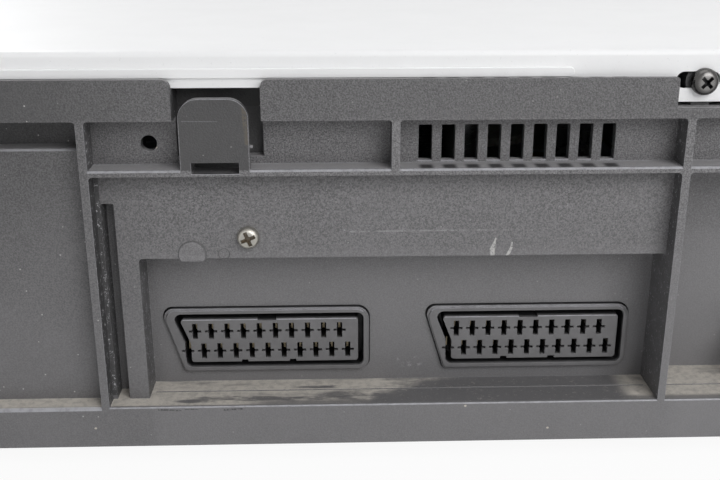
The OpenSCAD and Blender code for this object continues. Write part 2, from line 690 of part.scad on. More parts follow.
module front_panel() {
    color("#c4c5c7") difference() {
        union() {
            difference() {
                along_y(fascia_y, fascia_back_y) case_outline(0, base_z);
                along_y(fascia_y + fascia_t, fascia_back_y + cut) case_outline(fascia_t, base_z + fascia_t);
            }
            // Ears that carry the pins of the cassette flap
            for (s = [-1, 1]) block(slot_x + s * ear_x - 1.5, slot_x + s * ear_x + 1.5,
                fascia_y + fascia_t - 0.2, hinge_y + 3, hinge_z - 3, hinge_z + 3);
            // Pocket around the front jacks
            block(jack_flap_x - jack_flap_w / 2 - 2, jack_flap_x + jack_flap_w / 2 + 2, fascia_y + 1,
                fascia_y + 10, jack_flap_z - 2, jack_flap_z + jack_flap_h + 2);
        }
        along_y(fascia_y - cut, fascia_y + fascia_t + cut)
            round_rect(slot_x - slot_w / 2, slot_x + slot_w / 2, slot_z, slot_top, 1);
        for (s = [-1, 1]) rod_x(slot_x + s * ear_x - 2, slot_x + s * ear_x + 2,
            hinge_y, hinge_z, hinge_r + run);
        along_y(fascia_y - cut, fascia_y + 1.6) round_rect(window_x - window_w / 2, window_x + window_w / 2,
            window_z - window_h / 2, window_z + window_h / 2, 2);
        along_y(fascia_y - cut, fascia_y + fascia_t + cut) round_rect(window_x - window_w / 2 + 3,
            window_x + window_w / 2 - 3, window_z - window_h / 2 + 3, window_z + window_h / 2 - 3, 1);
        for (i = [0:9]) if (i != 7) along_y(fascia_y - cut, fascia_y + fascia_t + cut)
            round_rect(button_at(i)[0] - button_w / 2 - gap, button_at(i)[0] + button_w / 2 + gap,
                button_at(i)[1] - button_h / 2 - gap, button_at(i)[1] + button_h / 2 + gap, 1.5 + gap);
        rod_y(fascia_y - cut, fascia_y + fascia_t + cut, power_x, control_z, power_d / 2 + gap);
        // Fine groove across the front below the cassette flap
        block(-half_w - cut, half_w + cut, fascia_y - cut, fascia_y + 0.6, groove_z, groove_z + 1);
        // Recess of the jack flap and the pocket behind it
        block(jack_flap_x - jack_flap_w / 2, jack_flap_x + jack_flap_w / 2, fascia_y - cut, fascia_y + 3,
            jack_flap_z, jack_flap_z + jack_flap_h);
        block(jack_flap_x - jack_flap_w / 2 + 3, jack_flap_x + jack_flap_w / 2 - 3, fascia_y + 2, fascia_y + 8,
            jack_flap_z + 2, jack_flap_z + jack_flap_h - 1);
        for (i = [-1:1]) rod_y(fascia_y + 7, fascia_y + 12, jack_flap_x + i * jack_pitch,
            jack_flap_z + jack_flap_h / 2, jack_d / 2 + gap);
        rod_x(jack_flap_x - jack_flap_w / 2 - 1.2, jack_flap_x + jack_flap_w / 2 + 1.2, jack_hinge_y,
            jack_hinge_z, jack_hinge_r + run);
    }
}

module display_window() {
    color("#1c1d20") along_y(fascia_y, fascia_y + 1.6) round_rect(window_x - window_w / 2 + 0.1,
        window_x + window_w / 2 - 0.1, window_z - window_h / 2 + 0.1, window_z + window_h / 2 - 0.1, 1.9);
}

module feet() {
    foot_x = half_w - foot_d - 13.5;
    foot_y = case_d / 2 - foot_d - 13.5;
    color("#222224") for (x = [-foot_x, foot_x], y = [-foot_y, foot_y]) difference() {
        union() {
            rod_z(0.8, foot_h, x, y, foot_d / 2);
            translate([x, y, 0]) cylinder(h = 0.8, r1 = foot_d / 2 - 0.8, r2 = foot_d / 2);
        }
        rod_z(-cut, foot_h - 1.5, x, y, foot_d / 2 - 5);
    }
}

module side_screws() {
    color("#a9abad") for (s = [-1, 1], y = side_screw_y) translate([0, y, side_screw_z])
        rotate([0, 0, s * -90]) translate([0, 0, -side_screw_z])
            pan_screw(0, side_screw_z, half_w, 3.2, 1.8, cover_screw_r, 6, 3.6, 30);
}

module rear_screws() {
    color("#4b4a48") for (s = [-1, 1])
        pan_screw(s * cover_screw_x, cover_screw_z, rear_y - flange_in, cover_head_r, cover_head_h,
            cover_screw_r, 9, 3, 45);
}

module panel_screws() {
    color("#b5b2aa") pan_screw(field_screw_x, field_screw_z, rear_y - mid_deep, 2.5, 1.9, 1.45, 7, 3.4, 22);
}

module mains_inlet() {
    face = rear_y - side_deep;
    color("#1a1a1b") difference() {
        union() {
            along_y(face, face + 1.2) round_rect(mains_x - 13, mains_x + 13, mains_z - 9, mains_z + 9, 2);
            along_y(face - 16, face) round_rect(mains_x - 10.8, mains_x + 10.8,
                mains_z - 6.8, mains_z + 6.8, 1.5);
        }
        along_y(face - 12, face + 2) union() {
            for (s = [-1, 1]) translate([mains_x + s * mains_pitch / 2, mains_z]) circle(4.4);
            translate([mains_x - mains_pitch / 2, mains_z - 3.4]) square([mains_pitch, 6.8]);
        }
    }
}

module mains_pins() {
    color("#c8c6bf") for (s = [-1, 1])
        rod_y(rear_y - side_deep - 12, rear_y - side_deep - 2.5, mains_x + s * mains_pitch / 2, mains_z, 1.2);
}

function pin_x(row, i) = (row == 0 ? -0.45 : -2.36) + (4.5 - i) * pin_pitch;
function row_z(row) = (0.5 - row) * row_pitch - pin_drop;

// The contact places: two rows of ten, and one more at the end of the lower row
pin_places = concat([for (row = [0, 1], i = [0:9]) [pin_x(row, i), row_z(row)]], [[pin_x(1, -1), row_z(1)]]);

module video_socket(x) {
    face = rear_y - av_deep + video_out;
    color("#4a4a4d") translate([x, 0, video_z]) difference() {
        union() {
            along_y(face - 8, face - rim_step) video_outline(0);
            along_y(face - 8, face) video_outline(rim_step);
            translate([0, 0, -video_z]) block(-video_w / 2 + 1, video_w / 2 - 1, face - video_body_deep,
                face - 8, board_top, video_z + video_h / 2 - 1);
        }
        along_y(face - 7, face + cut) difference() {
            video_inner(video_rim, 1.5);
            difference() {
                video_inner(video_rim + video_groove, 0.7);
                // Keying notches in the long edges
                translate([-0.4 - 2.2, video_h / 2 - video_rim - video_groove - 0.4]) square([4.4, 1]);
                for (x = [5.1, -6.4]) translate([x - 0.75, -video_h / 2 + video_rim + video_groove - 0.5])
                    square([1.5, 1]);
            }
        }
        for (p = pin_places) translate([p[0], face - 4.5 + cut, p[1]]) {
            cube([1.2, 9, 3.9], center = true);
            cube([2.9, 9, 0.55], center = true);
        }
    }
}

module video_contacts() {
    face = rear_y - av_deep + video_out;
    color("#b9b29a") for (x = [video_1_x, video_2_x], p = pin_places)
        translate([x + p[0], face - 6.25, video_z + p[1]]) cube([0.5, 4.5, 2.2], center = true);
}

module audio_jack_block() {
    color("#202022") difference() {
        union() {
            block(jack_x - jack_half, jack_x + jack_half, jack_wall_y - wall_t - 14, jack_wall_y - wall_t,
                board_top, jack_z + 9);
            for (i = [-0.5, 0.5]) rod_y(jack_wall_y - wall_t - cut, jack_wall_y + 1.6,
                jack_x + i * jack_pitch, jack_z, jack_d / 2 + 0.9);
        }
        for (i = [-0.5, 0.5]) rod_y(jack_wall_y - 8, jack_wall_y + 2, jack_x + i * jack_pitch, jack_z,
            jack_d / 2 + run);
    }
}

module jack_sleeve(x, z, y0, y1, back) {
    difference() {
        rod_y(y0, y1, x, z, jack_d / 2);
        rod_y(back ? y0 + 1.5 : y0 - cut, back ? y1 + cut : y1 - 1.5, x, z, jack_d / 2 - 0.8);
    }
    rod_y(back ? y0 + 1.5 : y0 + 3, back ? y1 - 3 : y1 - 1.5, x, z, 1.7);
}

module audio_jack_sleeves() {
    color("#c9c8c4") for (i = [-0.5, 0.5])
        jack_sleeve(jack_x + i * jack_pitch, jack_z, jack_wall_y - 8, jack_wall_y + 9.5, true);
}

module tuner_can() {
    y1 = jack_wall_y - wall_t;
    y0 = y1 - 58;
    top = aerial_low_z + aerial_pitch + 12;
    color("#b7babc") difference() {
        block(aerial_x - tuner_half, aerial_x + tuner_half, y0, y1, board_top, top);
        block(aerial_x - tuner_half + sheet_t, aerial_x + tuner_half - sheet_t, y0 + sheet_t, y1 - sheet_t,
            board_top - cut, top - sheet_t);
        for (i = [0:4], j = [0:2]) rod_x(aerial_x - tuner_half - 1, aerial_x - tuner_half + 1, y1 - 10 - i * 9,
            board_top + 12 + j * 10, 2);
    }
}

module aerial_sockets() {
    y1 = jack_wall_y - wall_t;
    color("#c9c8c4") for (i = [0, 1]) {
        z = aerial_low_z + i * aerial_pitch;
        difference() {
            rod_y(y1, jack_wall_y + 9.5, aerial_x, z, aerial_d / 2);
            rod_y(y1 + 2, jack_wall_y + 10, aerial_x, z, aerial_d / 2 - (i == 0 ? 1.7 : 1.1));
        }
        if (i == 0) rod_y(y1 + 2, jack_wall_y + 8, aerial_x, z, 1.2);
        if (i == 1) difference() {
            rod_y(y1 + 2, jack_wall_y + 8.5, aerial_x, z, 3);
            rod_y(y1 + 4, jack_wall_y + 9, aerial_x, z, 1.3);
        }
    }
}

module cassette_flap() {
    color("#c4c5c7") {
        along_y(fascia_y, fascia_y + flap_t) round_rect(slot_x - slot_w / 2 + gap, slot_x + slot_w / 2 - gap,
            slot_z + gap + 0.2, slot_top - gap, 0.8);
        for (s = [-1, 1]) {
            block(slot_x + s * (slot_w / 2 - 2.1) - 1.5, slot_x + s * (slot_w / 2 - 2.1) + 1.5,
                fascia_y + flap_t - 0.2, hinge_y, hinge_z - 2.5, hinge_z + 1.2);
            rod_x(slot_x + s * (slot_w / 2 - 2.1) - 1.5, slot_x + s * (slot_w / 2 - 2.1) + 1.5,
                hinge_y, hinge_z, 2.4);
        }
        rod_x(slot_x - slot_w / 2 - 10, slot_x - slot_w / 2 + 1, hinge_y, hinge_z, hinge_r);
        rod_x(slot_x + slot_w / 2 - 1, slot_x + slot_w / 2 + 3.5, hinge_y, hinge_z, hinge_r);
        for (x = [-60, 0, 60]) block(slot_x + x - 0.8, slot_x + x + 0.8, fascia_y + flap_t - 0.2,
            fascia_y + flap_t + 1.6, slot_z + 3, slot_top - 6);
    }
}

// Points of one ring of a coiled wire, shifted along its tangent for a straight leg
function coil_ring(r, wire, turns, pitch, t, leg) = [for (j = [0:5])
    let (a = 360 * turns * t, b = 60 * j)
    [(r + wire * cos(b)) * cos(a), (r + wire * cos(b)) * sin(a) + leg, pitch * turns * t + wire * sin(b)]];

module coil(r, wire, turns, pitch, leg_in, leg_out) {
    steps = ceil(16 * turns);
    points = concat(coil_ring(r, wire, turns, pitch, 0, -leg_in),
        [for (k = [0:steps]) each coil_ring(r, wire, turns, pitch, k / steps, 0)],
        coil_ring(r, wire, turns, pitch, 1, leg_out));
    sides = [for (k = [0:steps + 1], j = [0:5], h = [0, 1]) let (a = 6 * k + j, b = 6 * k + (j + 1) % 6)
        h == 0 ? [a, a + 6, b] : [b, a + 6, b + 6]];
    polyhedron(points, concat([[for (j = [0:5]) j]], sides, [[for (j = [5:-1:0]) 6 * (steps + 2) + j]]));
}

// Coil on the long pin of the flap, with one leg against the inside of the front
module flap_spring() {
    color("#9b9c9e") translate([slot_x - slot_w / 2 - 3.9, hinge_y, hinge_z]) rotate([0, -90, 0])
        coil(2.1, 0.25, 6, 0.8, hinge_y - fascia_y - fascia_t, 5);
}

module front_board() {
    color("#7a6a3c") difference() {
        union() {
            block(window_x - 76, inner_w - 4, front_board_y, front_board_y + board_t, base_top, slot_z - 4);
            block(control_x - 12, inner_w - 4, front_board_y, front_board_y + board_t, base_top, slot_top - 4);
            block(-inner_w + 4, slot_x - slot_w / 2 - 14, front_board_y, front_board_y + board_t,
                base_top, slot_top - 4);
            block(-inner_w + 4, window_x, front_board_y, front_board_y + board_t, base_top, slot_z - 12);
        }
        for (x = [-60, 60]) rod_y(front_board_y - cut, front_board_y + 3, x, base_top + 4, 1.6);
    }
}

module display_tube() {
    color("#2d3b3a") union() {
        block(window_x - 58, window_x + 58, front_board_y - 4.5, front_board_y - 0.8,
            window_z - 10, window_z + 10);
        for (x = [-50:10:50]) block(window_x + x - 0.4, window_x + x + 0.4, front_board_y - 0.8, front_board_y,
            window_z - 9.6, window_z - 8.8);
    }
}

module tact_switches() {
    spots = concat([for (i = [0:9]) if (i != 7) button_at(i)], [[power_x, control_z]]);
    color("#2b2b2d") for (p = spots) {
        block(p[0] - 3, p[0] + 3, front_board_y - switch_h + 0.8, front_board_y, p[1] - 3, p[1] + 3);
        rod_y(front_board_y - switch_h, front_board_y - switch_h + 1, p[0], p[1], 1.7);
    }
}

module front_jacks() {
    z = jack_flap_z + jack_flap_h / 2;
    color("#c9c8c4") for (i = [-1:1])
        jack_sleeve(jack_flap_x + i * jack_pitch, z, fascia_y + 3.6, front_board_y, false);
}

module jack_flap() {
    color("#c4c5c7") difference() {
        union() {
            along_y(fascia_y, fascia_y + 1.8) round_rect(jack_flap_x - jack_flap_w / 2 + gap,
                jack_flap_x + jack_flap_w / 2 - gap, jack_flap_z + 0.9, jack_flap_z + jack_flap_h - gap, 0.5);
            rod_x(jack_flap_x - jack_flap_w / 2 - 1, jack_flap_x + jack_flap_w / 2 + 1, jack_hinge_y,
                jack_hinge_z, jack_hinge_r);
        }
        block(jack_flap_x - 5, jack_flap_x + 5, fascia_y - cut, fascia_y + 0.7,
            jack_flap_z + jack_flap_h - 2.2, jack_flap_z + jack_flap_h);
    }
}

module main_board() {
    color("#2f5a3a") difference() {
        block(board_x0, board_x1, -40, board_y1, board_z, board_top);
        for (p = deck_posts) rod_z(board_z - 1, board_top + 1, p[0], p[1], 5);
    }
}

module power_board() {
    color("#8a7444") block(power_x0, power_x1, -60, 108, board_z, board_top);
}

module transformer() {
    x = (power_x0 + power_x1) / 2;
    half = 0.27 * power_w;
    yoke = 6;
    coil_h = 20;
    color("#c9b45a") {
        block(x - half, x + half, -6, 26, board_top, board_top + yoke);
        block(x - half + yoke, x + half - yoke, -4, 24, board_top + yoke, board_top + yoke + coil_h);
        block(x - half, x + half, -2, 22, board_top + yoke + coil_h, board_top + 2 * yoke + coil_h);
    }
    color("#3b3a38") for (s = [-1, 1]) block(x + s * (half - 3) - 3, x + s * (half - 3) + 3, 0, 20,
        board_top + yoke, board_top + yoke + coil_h);
}

module capacitors() {
    color("#2a2f45") {
        rod_z(board_top, board_top + 34, power_x1 - big_cap_r - 3, 60, big_cap_r);
        for (i = [0:2]) rod_z(board_top, board_top + 20, power_x0 + 2.4 * mid_cap_r + i * (2 * mid_cap_r + 3),
            -30, mid_cap_r);
        for (i = [0:3]) rod_z(board_top, board_top + 12, power_x0 + 3.8 * small_cap_r
            + i * (2 * small_cap_r + 3.3), -48, small_cap_r);
        for (i = [0:3]) rod_z(board_top, board_top + 11, deck_x - 10 - i * 9, board_y1 - 22, small_cap_r);
    }
}

module heat_sink() {
    x = power_x0 + 0.19 * power_w;
    plate_y = 36;
    plate_l = 50;
    plate_h = 38;
    fin = 0.16 * power_w;
    color("#8e9193") {
        block(x - 1.5, x + 1.5, plate_y, plate_y + plate_l, board_top, board_top + plate_h);
        for (i = [0:8]) block(x + 1, x + 1 + fin, plate_y + i * 6.1, plate_y + 1.2 + i * 6.1,
            board_top + 4, board_top + plate_h);
    }
}

module signal_shield() {
    y1 = rear_y - av_deep + video_out - video_body_deep - 1;
    top = av_top - 6;
    lug_y = rear_y - mid_deep - wall_t;
    lug_z = av_top + wall_t + 0.2;
    x0 = video_2_x - 30;
    x1 = video_2_x + 34;
    color("#b7babc") difference() {
        union() {
            difference() {
                block(x0, x1, y1 - 34, y1, board_top, top);
                block(x0 + sheet_t, x1 - sheet_t, y1 - 34 + sheet_t, y1 - sheet_t,
                    board_top - cut, top - sheet_t);
            }
            // Lug that rises behind the sockets to the screw of the field
            block(field_screw_x - 5, field_screw_x + 5, y1 - sheet_t, y1, top - 1, lug_z + sheet_t);
            block(field_screw_x - 5, field_screw_x + 5, y1 - sheet_t, lug_y, lug_z, lug_z + sheet_t);
            block(field_screw_x - 5, field_screw_x + 5, lug_y - sheet_t, lug_y, lug_z, field_screw_z + 5);
        }
        for (i = [0:5], j = [0:2]) rod_z(top - 2, top + 0.1, x0 + 8 + i * 10, y1 - 27 + j * 10, 2.5);
        rod_y(lug_y - 3, lug_y + 1, field_screw_x, field_screw_z, 1.6);
    }
}

module ribbon_cables() {
    x = deck_x + deck_half + 14;
    color("#dcdcd6") {
        block(x, x + 16, front_board_y + board_t, front_board_y + board_t + 0.6, board_top + 4, board_top + 24);
        block(x, x + 16, front_board_y + board_t, -30, board_top + 3.4, board_top + 4);
        block(x, x + 16, -30.6, -30, board_top, board_top + 4);
        block(power_x0 + 4, power_x0 + 10, -64, -58, board_top, board_top + 3);
        block(board_x1 - 6, power_x0 + 10, -64, -63.4, board_top, board_top + 3);
        block(board_x1 - 6, board_x1 - 5.4, -64, -38, board_top, board_top + 3);
    }
}

module board_chips() {
    y = board_y1 - 50;
    color("#262628") {
        for (i = [0:2]) block(-120 + i * 30, -104 + i * 30, y, y + 12, board_top, board_top + 3);
        block(50, 74, y + 2, y + 26, board_top, board_top + 3.4);
        block(-94, -66, y + 14, y + 22, board_top, board_top + 4);
        for (i = [0:2]) block(-128 + i * 12, -124 + i * 12, y + 22, y + 32, board_top, board_top + 9);
    }
}

// Slot for a tape guide: an arc about the drum
module guide_slot(a0, a1) {
    play = guide_slot_r / guide_r * 180 / PI;
    translate([deck_x, drum_y, deck_z - cut]) rotate([0, 0, a0 - play])
        rotate_extrude(angle = a1 - a0 + 2 * play, $fn = 96)
            translate([guide_r - guide_slot_r, 0]) square([2 * guide_slot_r, deck_t + 2 * cut]);
}

module deck_plate() {
    color("#aeb1b3") {
        difference() {
            union() {
                block(deck_x - deck_half, deck_x + deck_half, deck_y0, deck_y1, deck_z, deck_top);
                for (y = [deck_y0, deck_y1 - deck_t]) block(deck_x - deck_half, deck_x + deck_half,
                    y, y + deck_t, deck_z, deck_z + 5);
            }
            guide_slot(guide_start, guide_end);
            guide_slot(180 - guide_end, 180 - guide_start);
            rod_z(deck_z - cut, deck_top + cut, capstan_x, capstan_y, 5 + run);
            for (s = [-1, 1]) for (x = [20, 70]) block(deck_x + s * x - 9, deck_x + s * x + 9,
                -52, -34, deck_z - cut, deck_top + cut);
        }
        for (s = [-1, 1]) rod_z(deck_top, deck_top + 14, deck_x + s * reel_pitch / 2, reel_y, reel_pin_r);
        for (s = [-1, 1]) rod_z(deck_top, deck_top + 0.9, deck_x + s * reel_pitch / 2, reel_y, 4);
        rod_z(deck_top, deck_top + 22, pinch_x, pinch_y, 2);
        rod_z(deck_top, deck_top + 0.9, pinch_x, pinch_y, 4);
    }
}

module lower_drum() {
    color("#c6c8ca") {
        difference() {
            union() {
                rod_z(deck_top, drum_base_z + 4, deck_x, drum_y, 22);
                translate([deck_x, drum_y, drum_base_z]) rotate([-drum_tilt, 0, 0])
                    cylinder(h = lower_h, r = drum_d / 2, $fn = 96);
            }
            translate([deck_x, drum_y, drum_base_z]) rotate([-drum_tilt, 0, 0]) {
                translate([0, 0, 3]) cylinder(h = lower_h, r = 3 + run);
                // Step that guides the tape's lower edge
                translate([0, 0, lower_h - 2]) difference() {
                    cylinder(h = 3, r = drum_d / 2 + 1, $fn = 96);
                    translate([0, 0, -1]) cylinder(h = 5, r = drum_d / 2 - 0.4, $fn = 96);
                }
            }
        }
    }
}

module head_drum() {
    color("#d5d7d9") translate([deck_x, drum_y, drum_base_z]) rotate([-drum_tilt, 0, 0]) {
        difference() {
            translate([0, 0, lower_h + 0.4]) cylinder(h = upper_h, r = drum_d / 2, $fn = 96);
            // Windows of the video heads
            for (a = [0:90:270]) rotate([0, 0, a]) translate([drum_d / 2 - 2.5, -1.6, lower_h])
                cube([4, 3.2, 3]);
            translate([0, 0, lower_h + upper_h - 2]) difference() {
                cylinder(h = 4, r = drum_d / 2 - 5);
                translate([0, 0, -1]) cylinder(h = 6, r = 13);
            }
            for (a = [45:90:315]) rotate([0, 0, a]) translate([drum_d / 2 - 10, 0, lower_h + 8])
                cylinder(h = upper_h, r = 2.2);
        }
        translate([0, 0, lower_h + upper_h]) cylinder(h = 3, r = 9);
        translate([0, 0, 6]) cylinder(h = lower_h - 5, r = 3);
    }
}

module capstan() {
    color("#b9bbbd") {
        rod_z(deck_z - 10, deck_top + 36, capstan_x, capstan_y, capstan_r);
        difference() {
            rod_z(deck_z - 10, deck_z - 4, capstan_x, capstan_y, rotor_r);
            for (a = [0:60:300]) translate([capstan_x, capstan_y, 0]) rotate([0, 0, a]) translate([14, 0, 0])
                rod_z(deck_z - 11, deck_z - 3, 0, 0, 4);
        }
    }
}

module capstan_bearing() {
    color("#8f9294") difference() {
        union() {
            rod_z(deck_z - 3, deck_top + 2.3, capstan_x, capstan_y, 5);
            rod_z(deck_top, deck_top + 1.4, capstan_x, capstan_y, 8.5);
        }
        rod_z(deck_z - 4, deck_top + 4, capstan_x, capstan_y, capstan_r + run);
    }
}

pinch_roller_x = pinch_x + pinch_reach * cos(pinch_start);
pinch_roller_y = pinch_y + pinch_reach * sin(pinch_start);

module pinch_arm() {
    color("#9a9c9f") {
        tube_z(deck_top + 1, deck_top + 19, pinch_x, pinch_y, 4, 2 + run);
        difference() {
            union() {
                translate([pinch_x, pinch_y, deck_top + 16.8]) rotate([0, 0, pinch_start])
                    translate([0, -3, 0]) cube([pinch_reach, 6, 2.2]);
                rod_z(deck_top + 16.8, deck_top + 19, pinch_roller_x, pinch_roller_y, 3);
            }
            rod_z(deck_top, deck_top + 30, pinch_x, pinch_y, 2 + run);
        }
        rod_z(deck_top + 3.2, deck_top + 17, pinch_roller_x, pinch_roller_y, 1.5);
    }
}

module pinch_roller() {
    color("#1d1d1e") tube_z(deck_top + 4, deck_top + 16, pinch_roller_x, pinch_roller_y, roller_r, 1.5 + run);
}

module reel_table(x) {
    color("#e8e6df") difference() {
        union() {
            rod_z(deck_top + 1, deck_top + 4.4, x, reel_y, reel_d / 2);
            for (i = [0:35]) translate([x, reel_y, deck_top + 1]) rotate([0, 0, 10 * i])
                translate([reel_d / 2 - 0.2, -0.8, 0]) cube([1.2, 1.6, 2]);
            rod_z(deck_top + 4, deck_top + 7, x, reel_y, hub_r + 3);
            rod_z(deck_top + 4, deck_top + 15, x, reel_y, hub_r);
            translate([x, reel_y, deck_top + 15]) cylinder(h = 3, r1 = hub_r, r2 = 3);
            for (a = [0:120:240]) translate([x, reel_y, 0]) rotate([0, 0, a])
                block(hub_r - 0.5, hub_r + 1.8, -0.9, 0.9, deck_top + 6, deck_top + 14);
        }
        rod_z(deck_top, deck_top + 14.5, x, reel_y, reel_pin_r + run);
    }
}

// Guide roller on its carrier, at an angle about the drum
module tape_guide(a, side) {
    color("#c6c8ca") translate([deck_x, drum_y, 0]) rotate([0, 0, a]) {
        rod_z(deck_top + 0.2, deck_top + 4, guide_r, 0, 5);
        rod_z(deck_top + 0.2, deck_top + 4, guide_r, side * -7, 3);
        translate([guide_r - 3, min(0, side * -7), deck_top + 0.2]) cube([6, 7, 3.8]);
        rod_z(deck_top + 4, deck_top + 27, guide_r, 0, 2.6);
        rod_z(deck_top + 26, deck_top + 28, guide_r, 0, 4);
        rod_z(deck_top + 3.8, deck_top + 5.4, guide_r, 0, 4);
        translate([guide_r, side * -7, deck_top + 3.5]) rotate([0, -8, 0]) cylinder(h = 22, r = 1.3);
        rod_z(deck_z - 2.2, deck_top + 0.4, guide_r, 0, guide_slot_r - 0.2);
        rod_z(deck_z - 2.4, deck_z - touch, guide_r, 0, 4);
    }
}

module tape_heads() {
    color("#7d8083") {
        block(deck_x - 66, deck_x - 56, drum_y - 20, drum_y - 12, deck_top, deck_top + 24);
        block(deck_x + 57, deck_x + 65, drum_y - 6, drum_y + 2, deck_top, deck_top + 24);
        rod_z(deck_top, deck_top + 26, deck_x - 66, drum_y - 2, 3);
    }
}

// Slot for a pin of the holder, on its straight ramp
module ramp_slot(y, z) {
    reach = norm([carry_in, carry_down]);
    along_pin = atan2(-carry_down, carry_in);
    translate([0, y, z]) rotate([90, 0, 90]) linear_extrude(2 * frame_t + 2, center = true) rotate(along_pin) {
        circle(pin_r + 0.2);
        translate([reach, 0]) circle(pin_r + 0.2);
        translate([0, -pin_r - 0.2]) square([reach, 2 * pin_r + 0.4]);
    }
}

module carriage_frame() {
    top = holder_top + 1.6;
    back = holder_y + holder_len + carry_in + 4;
    color("#aeb1b3") {
        for (s = [-1, 1]) difference() {
            union() {
                block(deck_x + s * (frame_x + frame_t / 2) - frame_t / 2,
                    deck_x + s * (frame_x + frame_t / 2) + frame_t / 2, holder_y - 2, back, deck_top, top);
                block(min(deck_x + s * (deck_half - 6), deck_x + s * (frame_x + frame_t)),
                    max(deck_x + s * (deck_half - 6), deck_x + s * (frame_x + frame_t)),
                    holder_y + 6, holder_y + 18, deck_top, deck_top + 1.2);
            }
            for (y = [pin_y0, pin_y1]) translate([deck_x + s * (frame_x + frame_t / 2), 0, 0])
                ramp_slot(y, pin_z);
        }
        block(deck_x - frame_x - frame_t, deck_x + frame_x + frame_t, back - 34, back - 18, top, top + 1.2);
        // Lugs that hold the slider against its frame
        for (y = [-98, -78]) block(deck_x - frame_x - 5.3, deck_x - frame_x - frame_t + 0.2, y, y + 4,
            holder_top - 8.5, holder_top - 6.5);
        for (y = [-98, -30]) block(deck_x - frame_x - 7, deck_x - frame_x - frame_t + 0.2, y, y + 4,
            holder_top - 1.2, holder_top + 0.4);
        // Stub axle of the loading gear
        rod_x(deck_x - rack_out - 1, deck_x - frame_x - frame_t + 0.2, gear_y, gear_z, 2);
    }
}

module carriage_slider() {
    z0 = holder_top - 6.4;
    z1 = holder_top - 1.4;
    y0 = pin_y1 - 64;
    y1 = pin_y1 + 6;
    n = floor((y1 - y0) / tooth_pitch);
    color("#d8d4c6") {
        block(deck_x - rack_out, deck_x - rack_in, y0, y1, z0, z1);
        difference() {
            block(deck_x - rack_mid + 0.5, deck_x - rack_in, pin_y1 - 6, pin_y1 + 6,
                pin_z - carry_down - 6, z1);
            block(deck_x - rack_out - 1, deck_x - frame_x, pin_y1 - pin_r - 0.15, pin_y1 + pin_r + 0.15,
                pin_z - carry_down - pin_r - 0.4, pin_z + pin_r + 0.4);
        }
        // Rack under the outer half of the bar
        translate([deck_x - rack_out, 0, 0]) rotate([90, 0, 90]) linear_extrude(rack_out - rack_mid) {
            translate([y0, rack_pitch_z + tooth_down]) square([y1 - y0, z0 - rack_pitch_z - tooth_down + 0.2]);
            for (i = [-7:1:15]) let (y = gear_y + (0.5 - i) * tooth_pitch) if (y - 2 > y0 && y + 2 < y1)
                translate([y, rack_pitch_z]) polygon([[-0.5, -tooth_up], [0.5, -tooth_up],
                    [tooth_pitch / 4 - tooth_play / 2 + 0.4, tooth_down + 0.1],
                    [-tooth_pitch / 4 + tooth_play / 2 - 0.4, tooth_down + 0.1]]);
        }
    }
}

module loading_gear() {
    half_tooth = 90 / gear_teeth - 180 * tooth_play / (2 * PI * gear_r);
    color("#e8e6df") translate([deck_x - rack_out, gear_y, gear_z]) rotate([90, 0, 90])
        linear_extrude(rack_out - rack_mid) difference() {
            union() {
                circle(gear_r - tooth_down);
                for (i = [0:gear_teeth - 1]) rotate(90 + 360 * i / gear_teeth)
                    polygon([[gear_r - tooth_down - 0.3, -1.1], [gear_r + tooth_up, -0.45],
                        [gear_r + tooth_up, 0.45], [gear_r - tooth_down - 0.3, 1.1]]);
            }
            circle(2 + run);
            for (a = [0:60:300]) rotate(a) translate([6, 0]) circle(1.8);
        }
}

module cassette_holder() {
    y1 = holder_y + holder_len;
    color("#b4b7b9") {
        block(deck_x - holder_half, deck_x + holder_half, holder_y, y1, holder_top - 1, holder_top);
        for (s = [-1, 1]) {
            block(min(deck_x + s * (holder_half - 1), deck_x + s * holder_half),
                max(deck_x + s * (holder_half - 1), deck_x + s * holder_half), holder_y, y1,
                holder_floor, holder_top);
            block(min(deck_x + s * (holder_half - ledge_w), deck_x + s * holder_half),
                max(deck_x + s * (holder_half - ledge_w), deck_x + s * holder_half),
                holder_y, y1, holder_floor, holder_floor + 1);
            for (y = [pin_y0, pin_y1]) rod_x(min(deck_x + s * (holder_half - 0.5),
                deck_x + s * (frame_x + frame_t + 0.4)),
                max(deck_x + s * (holder_half - 0.5), deck_x + s * (frame_x + frame_t + 0.4)), y, pin_z, pin_r);
        }
        rod_x(deck_x - rack_mid + 0.3, deck_x - frame_x, pin_y1, pin_z, pin_r);
        // Leaf springs pressed out of the top
        for (s = [-1, 1]) block(deck_x + s * 60 - 6, deck_x + s * 60 + 6, holder_y + 12, y1 - 6,
            holder_top - 1.3, holder_top - 1);
    }
}

module loading_motor() {
    color("#8d8f92") {
        rod_x(deck_x - 88, deck_x - 64, drum_y + 18, deck_top + 11, 9);
        block(deck_x - 90, deck_x - 88, drum_y + 8, drum_y + 28, deck_top, deck_top + 20);
        rod_x(deck_x - 64, deck_x - 54, drum_y + 18, deck_top + 11, 2.6);
    }
}

